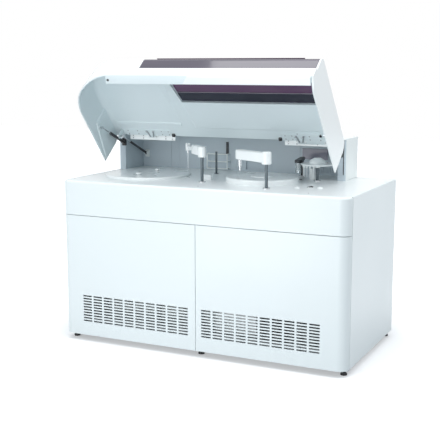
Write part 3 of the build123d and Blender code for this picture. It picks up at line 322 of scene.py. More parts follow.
def coated(name, look):
    # Painted metal and moulded plastic share this build; the look says which.
    material, tree, shader = blankMaterial(name)
    skin = groupNode(tree, coatGroup, {
        "Colour": (*look["colour"], 1), "Shade": (*look["shade"], 1), "Cloud Scale": look.get("cloud", 2.5),
        "Cloud Amount": look.get("cloudAmount", 0.35), "Peel Scale": look.get("peel", 500.0),
        "Roughness": look["roughness"], "Roughness Spread": look.get("spread", 0.12)})
    dust = groupNode(tree, dustGroup, {"Amount": look.get("dust", 0.06)})
    tree.links.new(skin.outputs["Colour"], dust.inputs["Colour"])
    tree.links.new(dust.outputs["Colour"], shader.inputs["Base Color"])
    tree.links.new(skin.outputs["Roughness"], shader.inputs["Roughness"])
    bumpFrom(tree, skin.outputs["Height"], look.get("bump", 0.08), 0.0004, shader)
    shader.inputs["Coat Weight"].default_value = look.get("coat", 0.0)
    shader.inputs["Coat Roughness"].default_value = 0.08
    shader.inputs["Specular IOR Level"].default_value = look.get("specular", 0.5)
    return material


def brushed(name, look):
    material, tree, shader = blankMaterial(name)
    skin = groupNode(tree, brushedGroup, {
        "Colour": (*look["colour"], 1), "Shade": (*look["shade"], 1),
        "Stretch": look.get("stretch", (30, 30, 1)),
        "Streak Scale": look.get("streak", 12.0), "Roughness": look["roughness"],
        "Roughness Spread": look.get("spread", 0.2)})
    tree.links.new(skin.outputs["Colour"], shader.inputs["Base Color"])
    tree.links.new(skin.outputs["Roughness"], shader.inputs["Roughness"])
    shader.inputs["Metallic"].default_value = look.get("metallic", 1.0)
    bumpFrom(tree, skin.outputs["Height"], look.get("bump", 0.06), 0.0003, shader)
    return material


def clearPlastic(name, look):
    material, tree, shader = blankMaterial(name)
    skin = groupNode(tree, coatGroup, {
        "Colour": (*look["colour"], 1), "Shade": (*look["shade"], 1), "Cloud Scale": 8.0, "Cloud Amount": 0.4,
        "Peel Scale": 300.0, "Roughness": look["roughness"], "Roughness Spread": 0.05})
    tree.links.new(skin.outputs["Colour"], shader.inputs["Base Color"])
    tree.links.new(skin.outputs["Roughness"], shader.inputs["Roughness"])
    bumpFrom(tree, skin.outputs["Height"], 0.03, 0.0003, shader)
    shader.inputs["Transmission Weight"].default_value = look["clear"]
    shader.inputs["IOR"].default_value = look.get("ior", 1.45)
    shader.inputs["Alpha"].default_value = look.get("alpha", 1.0)
    return material


def dress(material, *names):
    for name in names:
        mesh = nodes[name].data
        mesh.materials.clear()
        mesh.materials.append(material)


print("shader groups ready")


# Finishes of the carried-over solids

enamel = coated("coolWhiteEnamel", {
    "colour": (0.84, 0.90, 0.905), "shade": (0.80, 0.87, 0.88), "roughness": 0.36, "coat": 0.15})
deckWhite = coated("deckEnamel", {
    "colour": (0.86, 0.90, 0.905), "shade": (0.80, 0.86, 0.87), "roughness": 0.32, "coat": 0.2})
coverWhite = coated("mouldedWhite", {
    "colour": (0.88, 0.92, 0.92), "shade": (0.83, 0.88, 0.89), "roughness": 0.28, "coat": 0.35,
    "peel": 260.0})
housingGrey = coated("housingGrey", {
    "colour": (0.56, 0.64, 0.69), "shade": (0.50, 0.58, 0.64), "roughness": 0.42})
hoodWhite = coated("hoodGloss", {
    "colour": (0.90, 0.94, 0.94), "shade": (0.86, 0.90, 0.91), "roughness": 0.25, "coat": 0.4, "peel": 220.0})
linerGrey = coated("linerGrey", {
    "colour": (0.78, 0.865, 0.885), "shade": (0.73, 0.82, 0.845), "roughness": 0.5, "peel": 700.0,
    "bump": 0.12})
towerWhite = coated("towerWhite", {
    "colour": (0.86, 0.91, 0.90), "shade": (0.82, 0.87, 0.87), "roughness": 0.4})
frameSteel = brushed("zincedSteel", {
    "colour": (0.52, 0.54, 0.56), "shade": (0.38, 0.40, 0.42), "roughness": 0.42, "stretch": (8, 8, 3)})
shaftSteel = brushed("darkGroundSteel", {
    "colour": (0.13, 0.16, 0.18), "shade": (0.07, 0.09, 0.10), "roughness": 0.34, "metallic": 0.7,
    "stretch": (30, 30, 1)})
brightSteel = brushed("brightGroundSteel", {
    "colour": (0.66, 0.68, 0.70), "shade": (0.50, 0.52, 0.54), "roughness": 0.22, "stretch": (30, 30, 1)})
wellSteel = brushed("wellSteel", {
    "colour": (0.70, 0.72, 0.73), "shade": (0.55, 0.57, 0.58), "roughness": 0.25, "stretch": (1, 1, 20)})
carriageMetal = brushed("milledAluminium", {
    "colour": (0.72, 0.73, 0.74), "shade": (0.58, 0.59, 0.60), "roughness": 0.35, "stretch": (20, 1, 1)})
strutBlack = coated("strutBlack", {
    "colour": (0.022, 0.024, 0.028), "shade": (0.035, 0.036, 0.04), "roughness": 0.32, "coat": 0.2})
mixerBlack = coated("mixerBlack", {
    "colour": (0.02, 0.025, 0.03), "shade": (0.04, 0.045, 0.05), "roughness": 0.4, "peel": 600.0,
    "bump": 0.15})
rubber = coated("footRubber", {
    "colour": (0.03, 0.03, 0.032), "shade": (0.055, 0.055, 0.055), "roughness": 0.75, "peel": 900.0,
    "bump": 0.3, "dust": 0.2})
tubGrey = coated("tubPlastic", {
    "colour": (0.36, 0.38, 0.41), "shade": (0.30, 0.32, 0.35), "roughness": 0.45})
motorDark = coated("motorPaint", {
    "colour": (0.05, 0.052, 0.056), "shade": (0.08, 0.08, 0.085), "roughness": 0.45})
bottlePlastic = coated("bottlePlastic", {
    "colour": (0.75, 0.74, 0.70), "shade": (0.68, 0.66, 0.60), "roughness": 0.4})
canisterPlastic = coated("canisterPlastic", {
    "colour": (0.72, 0.77, 0.74), "shade": (0.62, 0.68, 0.66), "roughness": 0.42, "dust": 0.12})
caseSteel = brushed("caseSteel", {
    "colour": (0.55, 0.57, 0.58), "shade": (0.42, 0.44, 0.45), "roughness": 0.38, "stretch": (1, 12, 12)})
coolerDark = coated("coolerPaint", {
    "colour": (0.05, 0.055, 0.06), "shade": (0.09, 0.09, 0.095), "roughness": 0.5, "dust": 0.25})
connectorBlack = coated("connectorBlack", {
    "colour": (0.03, 0.03, 0.033), "shade": (0.05, 0.05, 0.055), "roughness": 0.5})
clearTube = clearPlastic("clearTube", {
    "colour": (0.90, 0.95, 0.96), "shade": (0.82, 0.88, 0.90), "roughness": 0.08, "clear": 0.85})

dress(enamel, "side_panel_left", "side_panel_right", "rear_panel", "front_fascia", "door_left", "door_right")
dress(deckWhite, "deck_plate", "side_shelf")
dress(coverWhite, "sample_lid", "reaction_cover", "sample_arm_cover", "reagent_arm_cover", "wash_head",
      "wash_station_column")
dress(housingGrey, "rear_housing")
dress(towerWhite, "rear_top_cover")
dress(hoodWhite, "hood_shell")
dress(linerGrey, "hood_liner", "hood_strut_seats", "hood_hinge_leaves")
dress(frameSteel, "chassis_frame", "base_pan", "door_pivots")
dress(shaftSteel, "sample_arm_post", "reagent_arm_post", "wash_lift_post")
dress(brightSteel, "arm_guides", "sample_probe", "reagent_probe", "mixer_paddle", "gas_spring_rod_left",
      "gas_spring_rod_right", "damper_rod_left")
dress(wellSteel, "wash_wells")
dress(carriageMetal, "sample_arm_carriage", "reagent_arm_carriage", "mixer_carriage")
dress(strutBlack, "gas_spring_case_left", "gas_spring_case_right", "damper_case_left")
dress(mixerBlack, "mixer_arm")
dress(rubber, "levelling_feet", "hood_bumpers")
dress(tubGrey, "carousel_tubs", "sample_carousel", "reaction_carousel")
dress(motorDark, "carousel_motors")
dress(bottlePlastic, "reagent_bottles")
dress(canisterPlastic, "fluid_containers")
dress(caseSteel, "electronics_rack", "power_supply")
dress(coolerDark, "refrigeration_unit")
dress(connectorBlack, "rear_connectors")
dress(clearTube, "sample_tubes", "cuvettes", "mixer_guard")
dress(hoodWhite, "hinge_brackets")


windowLook = {"deep": (0.045, 0.05, 0.07, 1), "violet": (0.10, 0.075, 0.12, 1),
              "streak": (0.32, 0.12, 0.18, 1)}


def makeWindowMaterial(look):
    # Smoked acrylic: long soft streaks of violet in a near-black tint, with a hard gloss.
    material, tree, shader = blankMaterial("smokedAcrylic")
    place = tree.nodes.new("ShaderNodeTexCoord").outputs["Object"]
    stretch = tree.nodes.new("ShaderNodeVectorMath")
    stretch.operation = "MULTIPLY"
    stretch.inputs[1].default_value = (1.2, 14, 14)
    tree.links.new(place, stretch.inputs[0])
    band = noiseNode(tree, stretch.outputs[0], 1.4, 3.0)
    colour = mixColour(tree, band, look["deep"], look["violet"])
    skin = groupNode(tree, coatGroup, {"Peel Scale": 90.0, "Roughness": 0.1, "Roughness Spread": 0.06})
    tree.links.new(colour, skin.inputs["Colour"])
    tree.links.new(colour, skin.inputs["Shade"])
    tree.links.new(skin.outputs["Colour"], shader.inputs["Base Color"])
    tree.links.new(skin.outputs["Roughness"], shader.inputs["Roughness"])
    bumpFrom(tree, skin.outputs["Height"], 0.02, 0.0004, shader)
    shader.inputs["Coat Weight"].default_value = 0.5
    shader.inputs["Coat Roughness"].default_value = 0.05
    return material


smokedWindow = makeWindowMaterial(windowLook)
dress(smokedWindow, "hood_window")
print("finishes placed on", sum(1 for n in nodes.values() if n.data.materials), "nodes")


# Mesh tools

# How far a piece reaches into the face that it sits on.
sink = 0.0003


def addPiece(name, points, faces, material, body, bevel=0.0006):
    mesh = bpy.data.meshes.new(name)
    mesh.from_pydata(points, [], faces)
    work = bmesh.new()
    work.from_mesh(mesh)
    bmesh.ops.recalc_face_normals(work, faces=work.faces)
    work.to_mesh(mesh)
    work.free()
    mesh.materials.append(material)
    piece = bpy.data.objects.new(name, mesh)
    scene.collection.objects.link(piece)
    if bevel:
        edge = piece.modifiers.new("softEdge", "BEVEL")
        edge.width = bevel
        edge.segments = 2
        edge.limit_method = "ANGLE"
        edge.angle_limit = math.radians(35)
    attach(piece, body)
    return piece


def loft(name, rings, material, body, bevel=0.0006):
    # Closed rings of equal length, joined in turn and capped at both ends.
    count = len(rings[0])
    points = [point for ring in rings for point in ring]
    faces = []
    for r in range(len(rings) - 1):
        for i in range(count):
            n = (i + 1) % count
            faces.append((r * count + i, r * count + n, (r + 1) * count + n, (r + 1) * count + i))
    faces.append(tuple(range(count))[::-1])
    faces.append(tuple((len(rings) - 1) * count + i for i in range(count)))
    return addPiece(name, points, faces, material, body, bevel)


def block(name, low, high, material, body, bevel=0.0015):
    (x0, y0, z0), (x1, y1, z1) = low, high
    rings = [[(x0, y0, z), (x1, y0, z), (x1, y1, z), (x0, y1, z)] for z in (z0, z1)]
    return loft(name, rings, material, body, bevel)


def turned(name, profile, place, axis, material, body, sides=24, bevel=0):
    # A lathe form: profile is (radius, height) pairs, and axis is the way that height runs.
    turn = Vector(axis).to_track_quat("Z", "Y").to_matrix()
    rings = []
    for radius, height in profile:
        ring = []
        for i in range(sides):
            angle = 2 * math.pi * i / sides
            ring.append(tuple(Vector(place) + turn @ Vector((radius * math.cos(angle),
                                                             radius * math.sin(angle),
                                                             height))))
        rings.append(ring)
    return loft(name, rings, material, body, bevel)


def joinPieces(name, pieces):
    # Makes one object of several that share a finish and a body.
    first = pieces[0]
    work = bmesh.new()
    depsgraph = bpy.context.evaluated_depsgraph_get()
    for piece in pieces:
        mesh = bpy.data.meshes.new_from_object(piece.evaluated_get(depsgraph))
        work.from_mesh(mesh)
        bpy.data.meshes.remove(mesh)
    for piece in pieces[1:]:
        bpy.data.objects.remove(piece)
    first.modifiers.clear()
    work.to_mesh(first.data)
    work.free()
    first.name = name
    first.data.name = name
    return first


def looseParts(node, names, finishes, slots):
    # Splits a fixed node of separate solids into pieces with their own finish, ordered along X.
    source = nodes[node]
    body = "root"
    work = bmesh.new()
    work.from_mesh(source.data)
    work.faces.ensure_lookup_table()
    groups = []
    seen = set()
    bmesh.ops.remove_doubles(work, verts=work.verts, dist=0.000001)
    work.verts.ensure_lookup_table()
    for vert in work.verts:
        if vert.index in seen:
            continue
        stack, members = [vert], set()
        while stack:
            v = stack.pop()
            if v.index in members:
                continue
            members.add(v.index)
            stack.extend(edge.other_vert(v) for edge in v.link_edges)
        seen |= members
        groups.append(members)
    centres = []
    for members in groups:
        xs = [work.verts[i].co.x for i in members]
        centres.append(((min(xs) + max(xs)) / 2, members))
    centres.sort(key=lambda item: item[0])
    pieces = []
    for (centre, members), name, finish, slotName in zip(centres, names, finishes, slots):
        order = {index: i for i, index in enumerate(sorted(members))}
        points = [tuple(work.verts[i].co) for i in sorted(members)]
        faces = [tuple(order[v.index] for v in face.verts) for face in work.faces
                 if face.verts[0].index in members]
        piece = addPiece(name, points, faces, finish, body, 0)
        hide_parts(node)
        pieces.append(piece)
    work.free()
    return pieces


# The hood is described closed, by its place along the rim and up from it, and turned to where it rests.

hood = {"back": 0.188, "base": 0.897, "hingeY": 0.168, "hingeZ": 1.098, "opening": 50.4, "under": 0.200,
        "leftWall": -0.811, "rightWall": 0.589, "lipStart": 0.500, "lipRadius": 0.180}


def hoodPoint(x, along, high):
    dy = hood["back"] - along - hood["hingeY"]
    dz = hood["base"] + high - hood["hingeZ"]
    turn = -math.radians(hood["opening"])
    return (x, hood["hingeY"] + dy * math.cos(turn) - dz * math.sin(turn),
            hood["hingeZ"] + dy * math.sin(turn) + dz * math.cos(turn))


def hoodBlock(name, x, along, high, material, bevel=0.0012):
    rings = [[hoodPoint(x[0], a, h) for a,
              h in ((along[0], high[0]), (along[1], high[0]), (along[1], high[1]),
                                                 (along[0], high[1]))],
             [hoodPoint(x[1], a, h) for a, h in ((along[0], high[0]), (along[1], high[0]),
                                                 (along[1], high[1]),
                                                 (along[0], high[1]))]]
    return loft(name, rings, material, "hood", bevel)


def hoodDirection(along, high):
    origin = Vector(hoodPoint(0, 0, 0))
    return Vector(hoodPoint(0, along, high)) - origin


wedge = {"back": 0.120, "window": 0.300, "front": 0.590, "left": -0.346, "slant": 0.1705, "rise": 0.035,
         "frontRise": 0.075, "panelBack": 0.098, "panelLeft": -0.271, "panelSlant": 0.098, "panelSide": 0.013,
         "panelRise": 0.005, "windowRight": 0.507}


def makeLinerRelief(look):
    # The raised fields round the window: a wedge that grows to the front and a flat panel on it.
    under = hood["under"]

    def ring(along, base, edge, right, depth):
        return [hoodPoint(x, along, h) for x, h in ((base, under + sink), (edge, under - depth),
                                                    (right, under - depth), (right, under + sink))]

    def wedgeBase(along):
        return look["left"] - look["slant"] * (along - look["back"])

    def wedgeDepth(along):
        nearDepth = look["rise"] * (min(along, look["window"]) - look["back"])
        return max(nearDepth, 0.0002) + look["frontRise"] * max(along - look["window"], 0)

    right = hood["rightWall"] - 0.0005
    stations = (look["back"], 0.2, look["window"])
    loft("linerWedge", [ring(a, wedgeBase(a), look["left"], right, wedgeDepth(a)) for a in stations],
         linerGrey,
         "hood", 0.0015)
    stations = (look["window"], 0.4, 0.5, look["front"])
    windowLeft = [-0.286 - 0.174 * (a - look["window"]) for a in stations]
    loft("linerWedgeLeft", [ring(a, wedgeBase(a), look["left"], edge, wedgeDepth(a))
                            for a, edge in zip(stations, windowLeft)], linerGrey, "hood",
         0.0015)
    loft("linerWedgeRight", [ring(a, look["windowRight"], look["windowRight"] + 0.004, right, wedgeDepth(a))
                             for a in stations], linerGrey, "hood", 0.0015)
    rings = []
    for a, lift in ((look["panelBack"], 0.0001), (look["panelBack"] + 0.008, look["panelRise"]),
                    (look["window"], look["panelRise"])):
        base = look["panelLeft"] - look["panelSlant"] * (a - look["panelBack"])
        depth = lift + max(look["rise"] * (a - look["back"]), 0)
        rings.append(ring(a, base, base + look["panelSide"], right, depth))
    loft("linerPanel", rings, linerGrey, "hood", 0.0012)


makeLinerRelief(wedge)

crease = {"left": -0.780, "right": -0.348, "back": 0.106, "front": 0.136, "rise": 0.004, "slope": 0.006}


def makeLinerCrease(look):
    under = hood["under"]
    rings = []
    for x in (look["left"], look["right"]):
        rings.append([hoodPoint(x, look["back"], under + sink),
                      hoodPoint(x, look["back"] + look["slope"], under - look["rise"]),
                      hoodPoint(x, look["front"] - look["slope"], under - look["rise"]),
                      hoodPoint(x, look["front"], under + sink)])
    loft("linerCrease", rings, linerGrey, "hood", 0.0008)


makeLinerCrease(crease)

wallPad = {"outline": ((0.014, 0.008), (0.240, 0.068), (0.246, 0.185), (0.236, 0.198), (0.040, 0.198),
                       (0.014, 0.150)), "rise": 0.006, "slope": 0.006}


def makeWallPad(look):
    # The raised field of the left wall round the spring's seat.
    wall = hood["leftWall"]
    middleA = sum(a for a, h in look["outline"]) / len(look["outline"])
    middleH = sum(h for a, h in look["outline"]) / len(look["outline"])
    rings = []
    for x, inset in ((wall - sink, 0), (wall + look["rise"], look["slope"])):
        ring = []
        for a, h in look["outline"]:
            away = Vector((a - middleA, h - middleH)).normalized() * inset
            ring.append(hoodPoint(x, a - away.x, h - away.y))
        rings.append(ring)
    loft("sideWallPad", rings, linerGrey, "hood", 0.001)


makeWallPad(wallPad)

rimFlange = {"left": -0.575, "right": 0.585, "back": 0.578, "front": 0.613, "thick": 0.004, "steps": 8}
rimBar = {"left": -0.115, "tip": -0.085, "right": 0.584, "back": 0.580, "front": 0.6145, "low": 0.004,
          "high": 0.009, "steps": 8}


def lipHeight(along):
    run = along - hood["lipStart"]
    return hood["lipRadius"] - math.sqrt(hood["lipRadius"] ** 2 - run ** 2)


def spread(look):
    # Even places from the back to the front of a strip.
    span = look["front"] - look["back"]
    return [look["back"] + span * i / look["steps"] for i in range(look["steps"] + 1)]


def makeRim():
    # A flange turned in along the front lip, and a white bar fixed on its right part.
    look = rimFlange
    stations = spread(look)
    rings = []
    for along in stations:
        z = lipHeight(along)
        rings.append([hoodPoint(look["left"], along, z), hoodPoint(look["right"], along, z),
                      hoodPoint(look["right"], along, z + look["thick"]),
                      hoodPoint(look["left"], along, z + look["thick"])])
    loft("rimFlange", rings, linerGrey, "hood", 0.0008)
    look = rimBar
    stations = spread(look)
    rings = []
    for along in stations:
        z = lipHeight(along)
        share = (along - look["back"]) / (look["front"] - look["back"])
        left = look["left"] + (look["tip"] - look["left"]) * share
        rings.append([hoodPoint(left, along, z - look["low"]),
                      hoodPoint(look["right"], along, z - look["low"]),
                      hoodPoint(look["right"], along, z + look["high"]),
                      hoodPoint(left, along, z + look["high"])])
    loft("rimBar", rings, hoodWhite, "hood", 0.0025)


makeRim()

windowLightStrips = {"left": -0.284, "slant": 0.174, "right": 0.505, "start": 0.303, "split": 0.368, "end": 0.598,
              "height": 0.2015, "ledge": 0.0045}
# Painted light: the upper strip's reddish violet stands for light shining through the smoked window; the
# lower strip is dark.
throughLightLooks = {"upper": {"deep": (0.10, 0.055, 0.115, 1), "violet": (0.17, 0.085, 0.16, 1)},
             "lower": {"deep": (0.018, 0.022, 0.036, 1), "violet": (0.035, 0.036, 0.055, 1)}}


def makeThroughLightMaterial(name, look):
    material, tree, shader = blankMaterial(name)
    place = tree.nodes.new("ShaderNodeTexCoord").outputs["Object"]
    stretch = tree.nodes.new("ShaderNodeVectorMath")
    stretch.operation = "MULTIPLY"
    stretch.inputs[1].default_value = (3.2, 9, 9)
    tree.links.new(place, stretch.inputs[0])
    band = noiseNode(tree, stretch.outputs[0], 1.1, 4.0)
    colour = mixColour(tree, band, look["deep"], look["violet"])
    skin = groupNode(tree, coatGroup, {"Peel Scale": 60.0, "Roughness": 0.16, "Roughness Spread": 0.08})
    tree.links.new(colour, skin.inputs["Colour"])
    tree.links.new(colour, skin.inputs["Shade"])
    tree.links.new(skin.outputs["Colour"], shader.inputs["Base Color"])
    tree.links.new(skin.outputs["Roughness"], shader.inputs["Roughness"])
    bumpFrom(tree, skin.outputs["Height"], 0.02, 0.0004, shader)
    shader.inputs["Specular IOR Level"].default_value = 0.35
    return material


def makePaintedWindowLight(look):
    # Two strips behind the window, coloured with painted light: the upper one reddish violet for light
    # shining through the smoked window, the lower one dark; and the thin pale ledge between them.
    spans = {"Lower": (look["start"], look["split"] - 0.001), "Upper": (look["split"] + 0.001, look["end"])}
    for label, (near, far) in spans.items():
        rings = []
        for along in (near, far):
            left = look["left"] - look["slant"] * (along - look["start"]) + 0.001
            rings.append([hoodPoint(left, along, look["height"]),
                          hoodPoint(look["right"] - 0.001, along, look["height"]),
                          hoodPoint(look["right"] - 0.001, along, look["height"] + 0.0012),
                          hoodPoint(left, along, look["height"] + 0.0012)])
        # Each strip's colour is painted light seen through the window.
        film = makeThroughLightMaterial("windowPaintedLight" + label, throughLightLooks[label.lower()])
        loft("windowPaintedLight" + label, rings, film, "hood", 0.0003)
    left = look["left"] - look["slant"] * (look["split"] - look["start"]) + 0.0015
    hoodBlock("windowLedge", (left, look["right"] - 0.0015), (look["split"] - 0.0022, look["split"] + 0.0008),
              (look["height"] - look["ledge"], look["height"]), windowLedgeGrey, 0.0006)


windowLedgeGrey = coated("windowLedge", {
    "colour": (0.30, 0.27, 0.32), "shade": (0.36, 0.32, 0.36), "roughness": 0.35})
makePaintedWindowLight(windowLightStrips)

cornerPlate = {"x": (0.335, 0.486), "along": (0.006, 0.090), "rise": 0.0022,
               "screws": ((0.344, 0.080), (0.478, 0.080),
               (0.344, 0.016)), "stud": (0.476, 0.070)}


def makeCornerPlate(look):
    # The blank plate at the right end of the liner, with its screws and a dark stud.
    under = hood["under"]
    hoodBlock("linerCornerPlate", look["x"], look["along"], (under - look["rise"], under + sink), linerGrey,
              0.0007)
    down = hoodDirection(0, -1)
    for i, (x, along) in enumerate(look["screws"]):
        turned(f"linerPlateScrew{i}", ((0.0001, 0), (0.0032, 0), (0.0036, 0.0006), (0.003, 0.0016),
                                       (0.0014, 0.0018),
                                       (0.0012, 0.0010), (0.0001, 0.0010)),
               hoodPoint(x, along, under - look["rise"]), down, frameSteel, "hood", 16)
    x, along = look["stud"]
    turned("linerStud", ((0.0001, 0), (0.0075, 0), (0.0075, 0.004), (0.006, 0.0055), (0.0001, 0.0055)),
           hoodPoint(x, along, under - look["rise"]), down, mixerBlack, "hood", 20)


makeCornerPlate(cornerPlate)

hingeArms = {"left": -0.575, "right": 0.356, "along": (0.074, 0.030), "arm": 0.007, "spread": 0.022,
             "rise": 0.006,
             "pad": 0.011}


def makeHingeArms(look):
    # Forked grey reinforcement on each leaf, riveted near its front edge.
    under = hood["under"] - 0.003
    down = hoodDirection(0, -1)
    for side in ("left", "right"):
        x = look[side]
        front, rear = look["along"]
        parts = []
        for s in (-1, 1):
            rings = []
            for along, reach, wide in ((front - 0.008, 1.0, 1.25), (front - 0.020, 0.8, 0.9),
                                       (rear - 0.008, 0.42, 1.0)):
                centre = x + s * look["spread"] * reach
                half = look["arm"] * wide / 2
                rings.append([hoodPoint(centre - half, along, under), hoodPoint(centre + half, along, under),
                              hoodPoint(centre + half, along, under - look["rise"]),
                              hoodPoint(centre - half, along, under - look["rise"])])
            parts.append(loft(f"hingeFork{side}{s}", rings, frameSteel, "hood", 0.001))
            parts.append(turned(f"hingeRivet{side}{s}",
                                ((0.0001, 0), (look["pad"] / 2, 0), (look["pad"] / 2, 0.0035),
                                                         (look["pad"] / 3, 0.0052), (0.0001, 0.0055)),
                                hoodPoint(x + s * look["spread"], front - 0.009,
                                          under - look["rise"] + 0.001), down,
                                frameSteel, "hood", 16))
        joinPieces(f"hingeFork_{side}", parts)


makeHingeArms(hingeArms)

catch = {"x": -0.560, "along": 0.596, "radius": 0.007}


def makeCatch(look):
    # The small dark catch near the left end of the rim.
    down = hoodDirection(0, -1)
    turned("rimCatch", ((0.0001, 0), (look["radius"], 0), (look["radius"], 0.004),
                        (look["radius"] * 0.7, 0.006),
                        (0.0001, 0.006)),
           hoodPoint(look["x"], look["along"], lipHeight(look["along"]) + 0.0005), down, mixerBlack, "hood",
           20)


makeCatch(catch)
print("hood lining and rim made")


# Fittings that are one node in the frame but differ in colour

looseParts("deck_fittings", ("deckPost", "electrodeModule", "deckKnob"), (shaftSteel, coverWhite, mixerBlack),
           ("shaft_steel", "cover_white", "mixer_black"))
looseParts("strut_mounts", ("springMountLeft", "damperMountLeft", "springMountRight"),
           (strutBlack, towerWhite, strutBlack), ("strut_black", "hood_white", "strut_black"))


# Details of the rear wall and the towers

# The dark sheet on the wall is painted shade: it stands for the hood's shadow on the upper right of the rear
# wall.
wall = {"face": 0.400, "panel": {"x": (0.275, 0.428), "z": (0.979, 1.041), "deep": 0.004},
        "frame": {"x": (-0.321, -0.189), "z": (0.900, 0.990), "bar": 0.946, "out": 0.026, "wire": 0.0035},
        "shadeStrip": {"x": (-0.205, -0.192), "z": (0.985, 1.060), "deep": 0.010}}
# Painted shade: a dark blue-grey for the shadowed part of the rear wall.
wallPaintedShade = coated("wallPaintedShade", {
    "colour": (0.19, 0.20, 0.27), "shade": (0.25, 0.25, 0.31), "roughness": 0.3, "cloud": 9.0,
    "cloudAmount": 0.8,
    "coat": 0.3})


def tube(name, route, radius, material, body, sides=10):
    # A bent wire: a round section carried along straight runs.
    rings = []
    for i, point in enumerate(route):
        before = Vector(route[max(i - 1, 0)])
        after = Vector(route[min(i + 1, len(route) - 1)])
        along = (after - before).normalized()
        side = along.cross(Vector((0, 1, 0.001))).normalized()
        up = along.cross(side).normalized()
        rings.append([tuple(Vector(point) + radius * (side * math.cos(2 * math.pi * k / sides)
                                                      + up * math.sin(2 * math.pi * k / sides)))
                      for k in range(sides)])
    return loft(name, rings, material, body, 0)


def makeWallDetails(look):
    face = look["face"]
    panel = look["panel"]
    # A thin dark sheet on the wall face, painted shade where the hood's shadow falls.
    block("wallShadeSheet", (panel["x"][0], face - panel["deep"], panel["z"][0]),
          (panel["x"][1], face + sink, panel["z"][1]), wallPaintedShade, "root", 0.0012)
    frameLook = look["frame"]
    (x0, x1), (z0, z1) = frameLook["x"], frameLook["z"]
    y = face - frameLook["out"]
    wires = [tube("rackFoot", [(x0, face, z0 + 0.004), (x0, y, z0 + 0.002), (x1, y, z0 + 0.002),
                               (x1, face, z0 + 0.004)],
                  frameLook["wire"], towerWhite, "root"),
             tube("rackTop", [(x0, face, z1), (x0, y, z1 - 0.002), (x1, y, z1 - 0.002), (x1, face, z1)],
                  frameLook["wire"], towerWhite, "root"),
             tube("rackBar", [(x0, face, frameLook["bar"]), (x0, y, frameLook["bar"] - 0.002),
                              (x1, y, frameLook["bar"] - 0.002), (x1, face, frameLook["bar"])],
                  frameLook["wire"], towerWhite, "root")]
    for x in (x0, x1):
        wires.append(tube(f"rackLeg{x}", [(x, y, z0), (x, y, (z0 + z1) / 2), (x, y, z1)], frameLook["wire"],
                          towerWhite, "root"))
    joinPieces("tubingRack", wires)
    # A black strip set on the wall as painted shade, where a step's face is in shadow.
    shadeStrip = look["shadeStrip"]
    block("wallShadeStrip", (shadeStrip["x"][0], face - shadeStrip["deep"], shadeStrip["z"][0]),
          (shadeStrip["x"][1], face + sink, shadeStrip["z"][1]),
          mixerBlack, "root", 0.0015)


makeWallDetails(wall)

tower = {"outer": 0.598, "front": 0.192, "seal": {"z": (0.925, 1.112), "wide": 0.004, "deep": 0.003},
         "latch": {"x": (0.571, 0.583), "z": (1.020, 1.066), "deep": 0.010}}


def makeTowerDetails(look):
    seal, latch = look["seal"], look["latch"]
    front = look["front"]
    block("towerSeal", (look["outer"] - 0.012, front - seal["deep"], seal["z"][0]),
          (look["outer"] - 0.012 + seal["wide"], front + sink, seal["z"][1]), rubber, "root",
          0.0008)
    block("towerLatch", (latch["x"][0], front - latch["deep"], latch["z"][0]),
          (latch["x"][1], front + sink, latch["z"][1]), mixerBlack, "root", 0.002)
    block("towerPlate", (look["outer"] - 0.0005, front + 0.008, 0.893),
          (look["outer"] + 0.0016, 0.4045, 1.113), towerWhite, "root", 0.0007)


makeTowerDetails(tower)
print("wall and tower details made")


# Small fittings on the deck

deckTop = 0.892
deckSmalls = {
    "portRing": {"places": ((0.372, -0.055), (0.467, -0.188), (0.573, -0.139)), "radius": 0.014,
                 "finish": "white"},
    "darkPlug": {"places": ((0.519, -0.121),), "radius": 0.011, "finish": "dark"},
}


def makeDeckSmalls(look):
    pieces = []
    for name, item in look.items():
        finish = coverWhite if item["finish"] == "white" else mixerBlack
        r = item["radius"]
        for i, (x, y) in enumerate(item["places"]):
            pieces.append(turned(f"{name}{i}",
                                 ((r * 0.55, 0.0), (r, 0.0), (r, 0.003), (r * 0.86, 0.0055),
                                  (r * 0.6, 0.0055),
                                                (r * 0.55, 0.001)), (x, y, deckTop - 0.0002), (0, 0, 1),
                                 finish, "root",
                                 28))
    return pieces


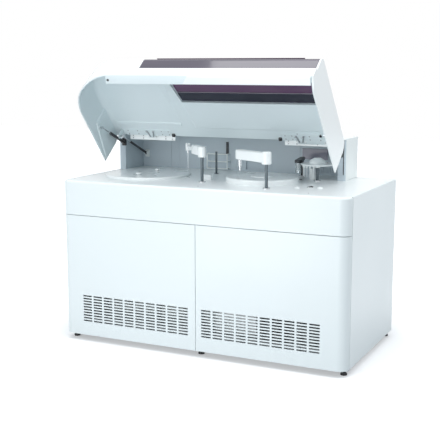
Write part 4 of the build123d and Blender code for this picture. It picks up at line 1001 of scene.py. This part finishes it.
screw = {"radius": 0.0038, "height": 0.0016}


def addScrews(name, places, axis, body, finish):
    # Countersunk-looking screws: a shallow dome with a socket, set on a face.
    r, h = screw["radius"], screw["height"]
    profile = ((0.0001, -0.0004), (r, -0.0004), (r, h * 0.35), (r * 0.75, h), (r * 0.4, h),
               (r * 0.36, h * 0.3),
               (0.0001, h * 0.3))
    heads = [turned(f"{name}{i}", profile, place, axis, finish, body, 14) for i,
             place in enumerate(places)]
    return joinPieces(name, heads)


cabinet = {"back": 0.4155}


def makeScrews(look):
    rear = look["back"]
    places = []
    for x in (-0.790, -0.395, 0.0, 0.395, 0.790):
        for z in (0.05, 0.62, 0.876):
            places.append((x, rear, z))
    addScrews("rearPanelScrews", places, (0, 1, 0), "root", frameSteel)
    places = [(x, rear - 0.003, z) for x in (-0.80, -0.42, 0.0, 0.38, 0.58) for z in (0.908, 1.098)]
    addScrews("housingScrews", places, (0, 1, 0), "root", frameSteel)
    places = [(x, y, 1.118) for x in (-0.80, -0.3, 0.2, 0.58) for y in (0.20, 0.39)]
    addScrews("topCoverScrews", places, (0, 0, 1), "root", frameSteel)
    places = [(x, y, deckTop) for x, y in ((-0.79, -0.33), (-0.79, 0.17), (-0.02, -0.34), (0.585, -0.34))]
    addScrews("deckScrews", places, (0, 0, 1), "root", frameSteel)
    places = [(x, 0.1885, z) for x in (-0.72, -0.65, -0.50, -0.455) for z in (1.083, 1.097)]
    places += [(x, 0.1885, z) for x in (0.27, 0.32, 0.44, 0.505) for z in (1.083, 1.097)]
    addScrews("hingeRailScrews", places, (0, -1, 0), "root", frameSteel)
    under = hood["under"]
    places = [hoodPoint(x, a, under - 0.003) for x in (-0.725, -0.66, -0.50, -0.455) for a in (0.040, 0.064)]
    places += [hoodPoint(x, a, under - 0.003) for x in (0.27, 0.31, 0.41, 0.47, 0.52) for a in (0.040, 0.064)]
    addScrews("leafScrews", places, hoodDirection(0, -1), "hood", frameSteel)


makeDeckSmalls(deckSmalls)
makeScrews(cabinet)
print("small fittings made")
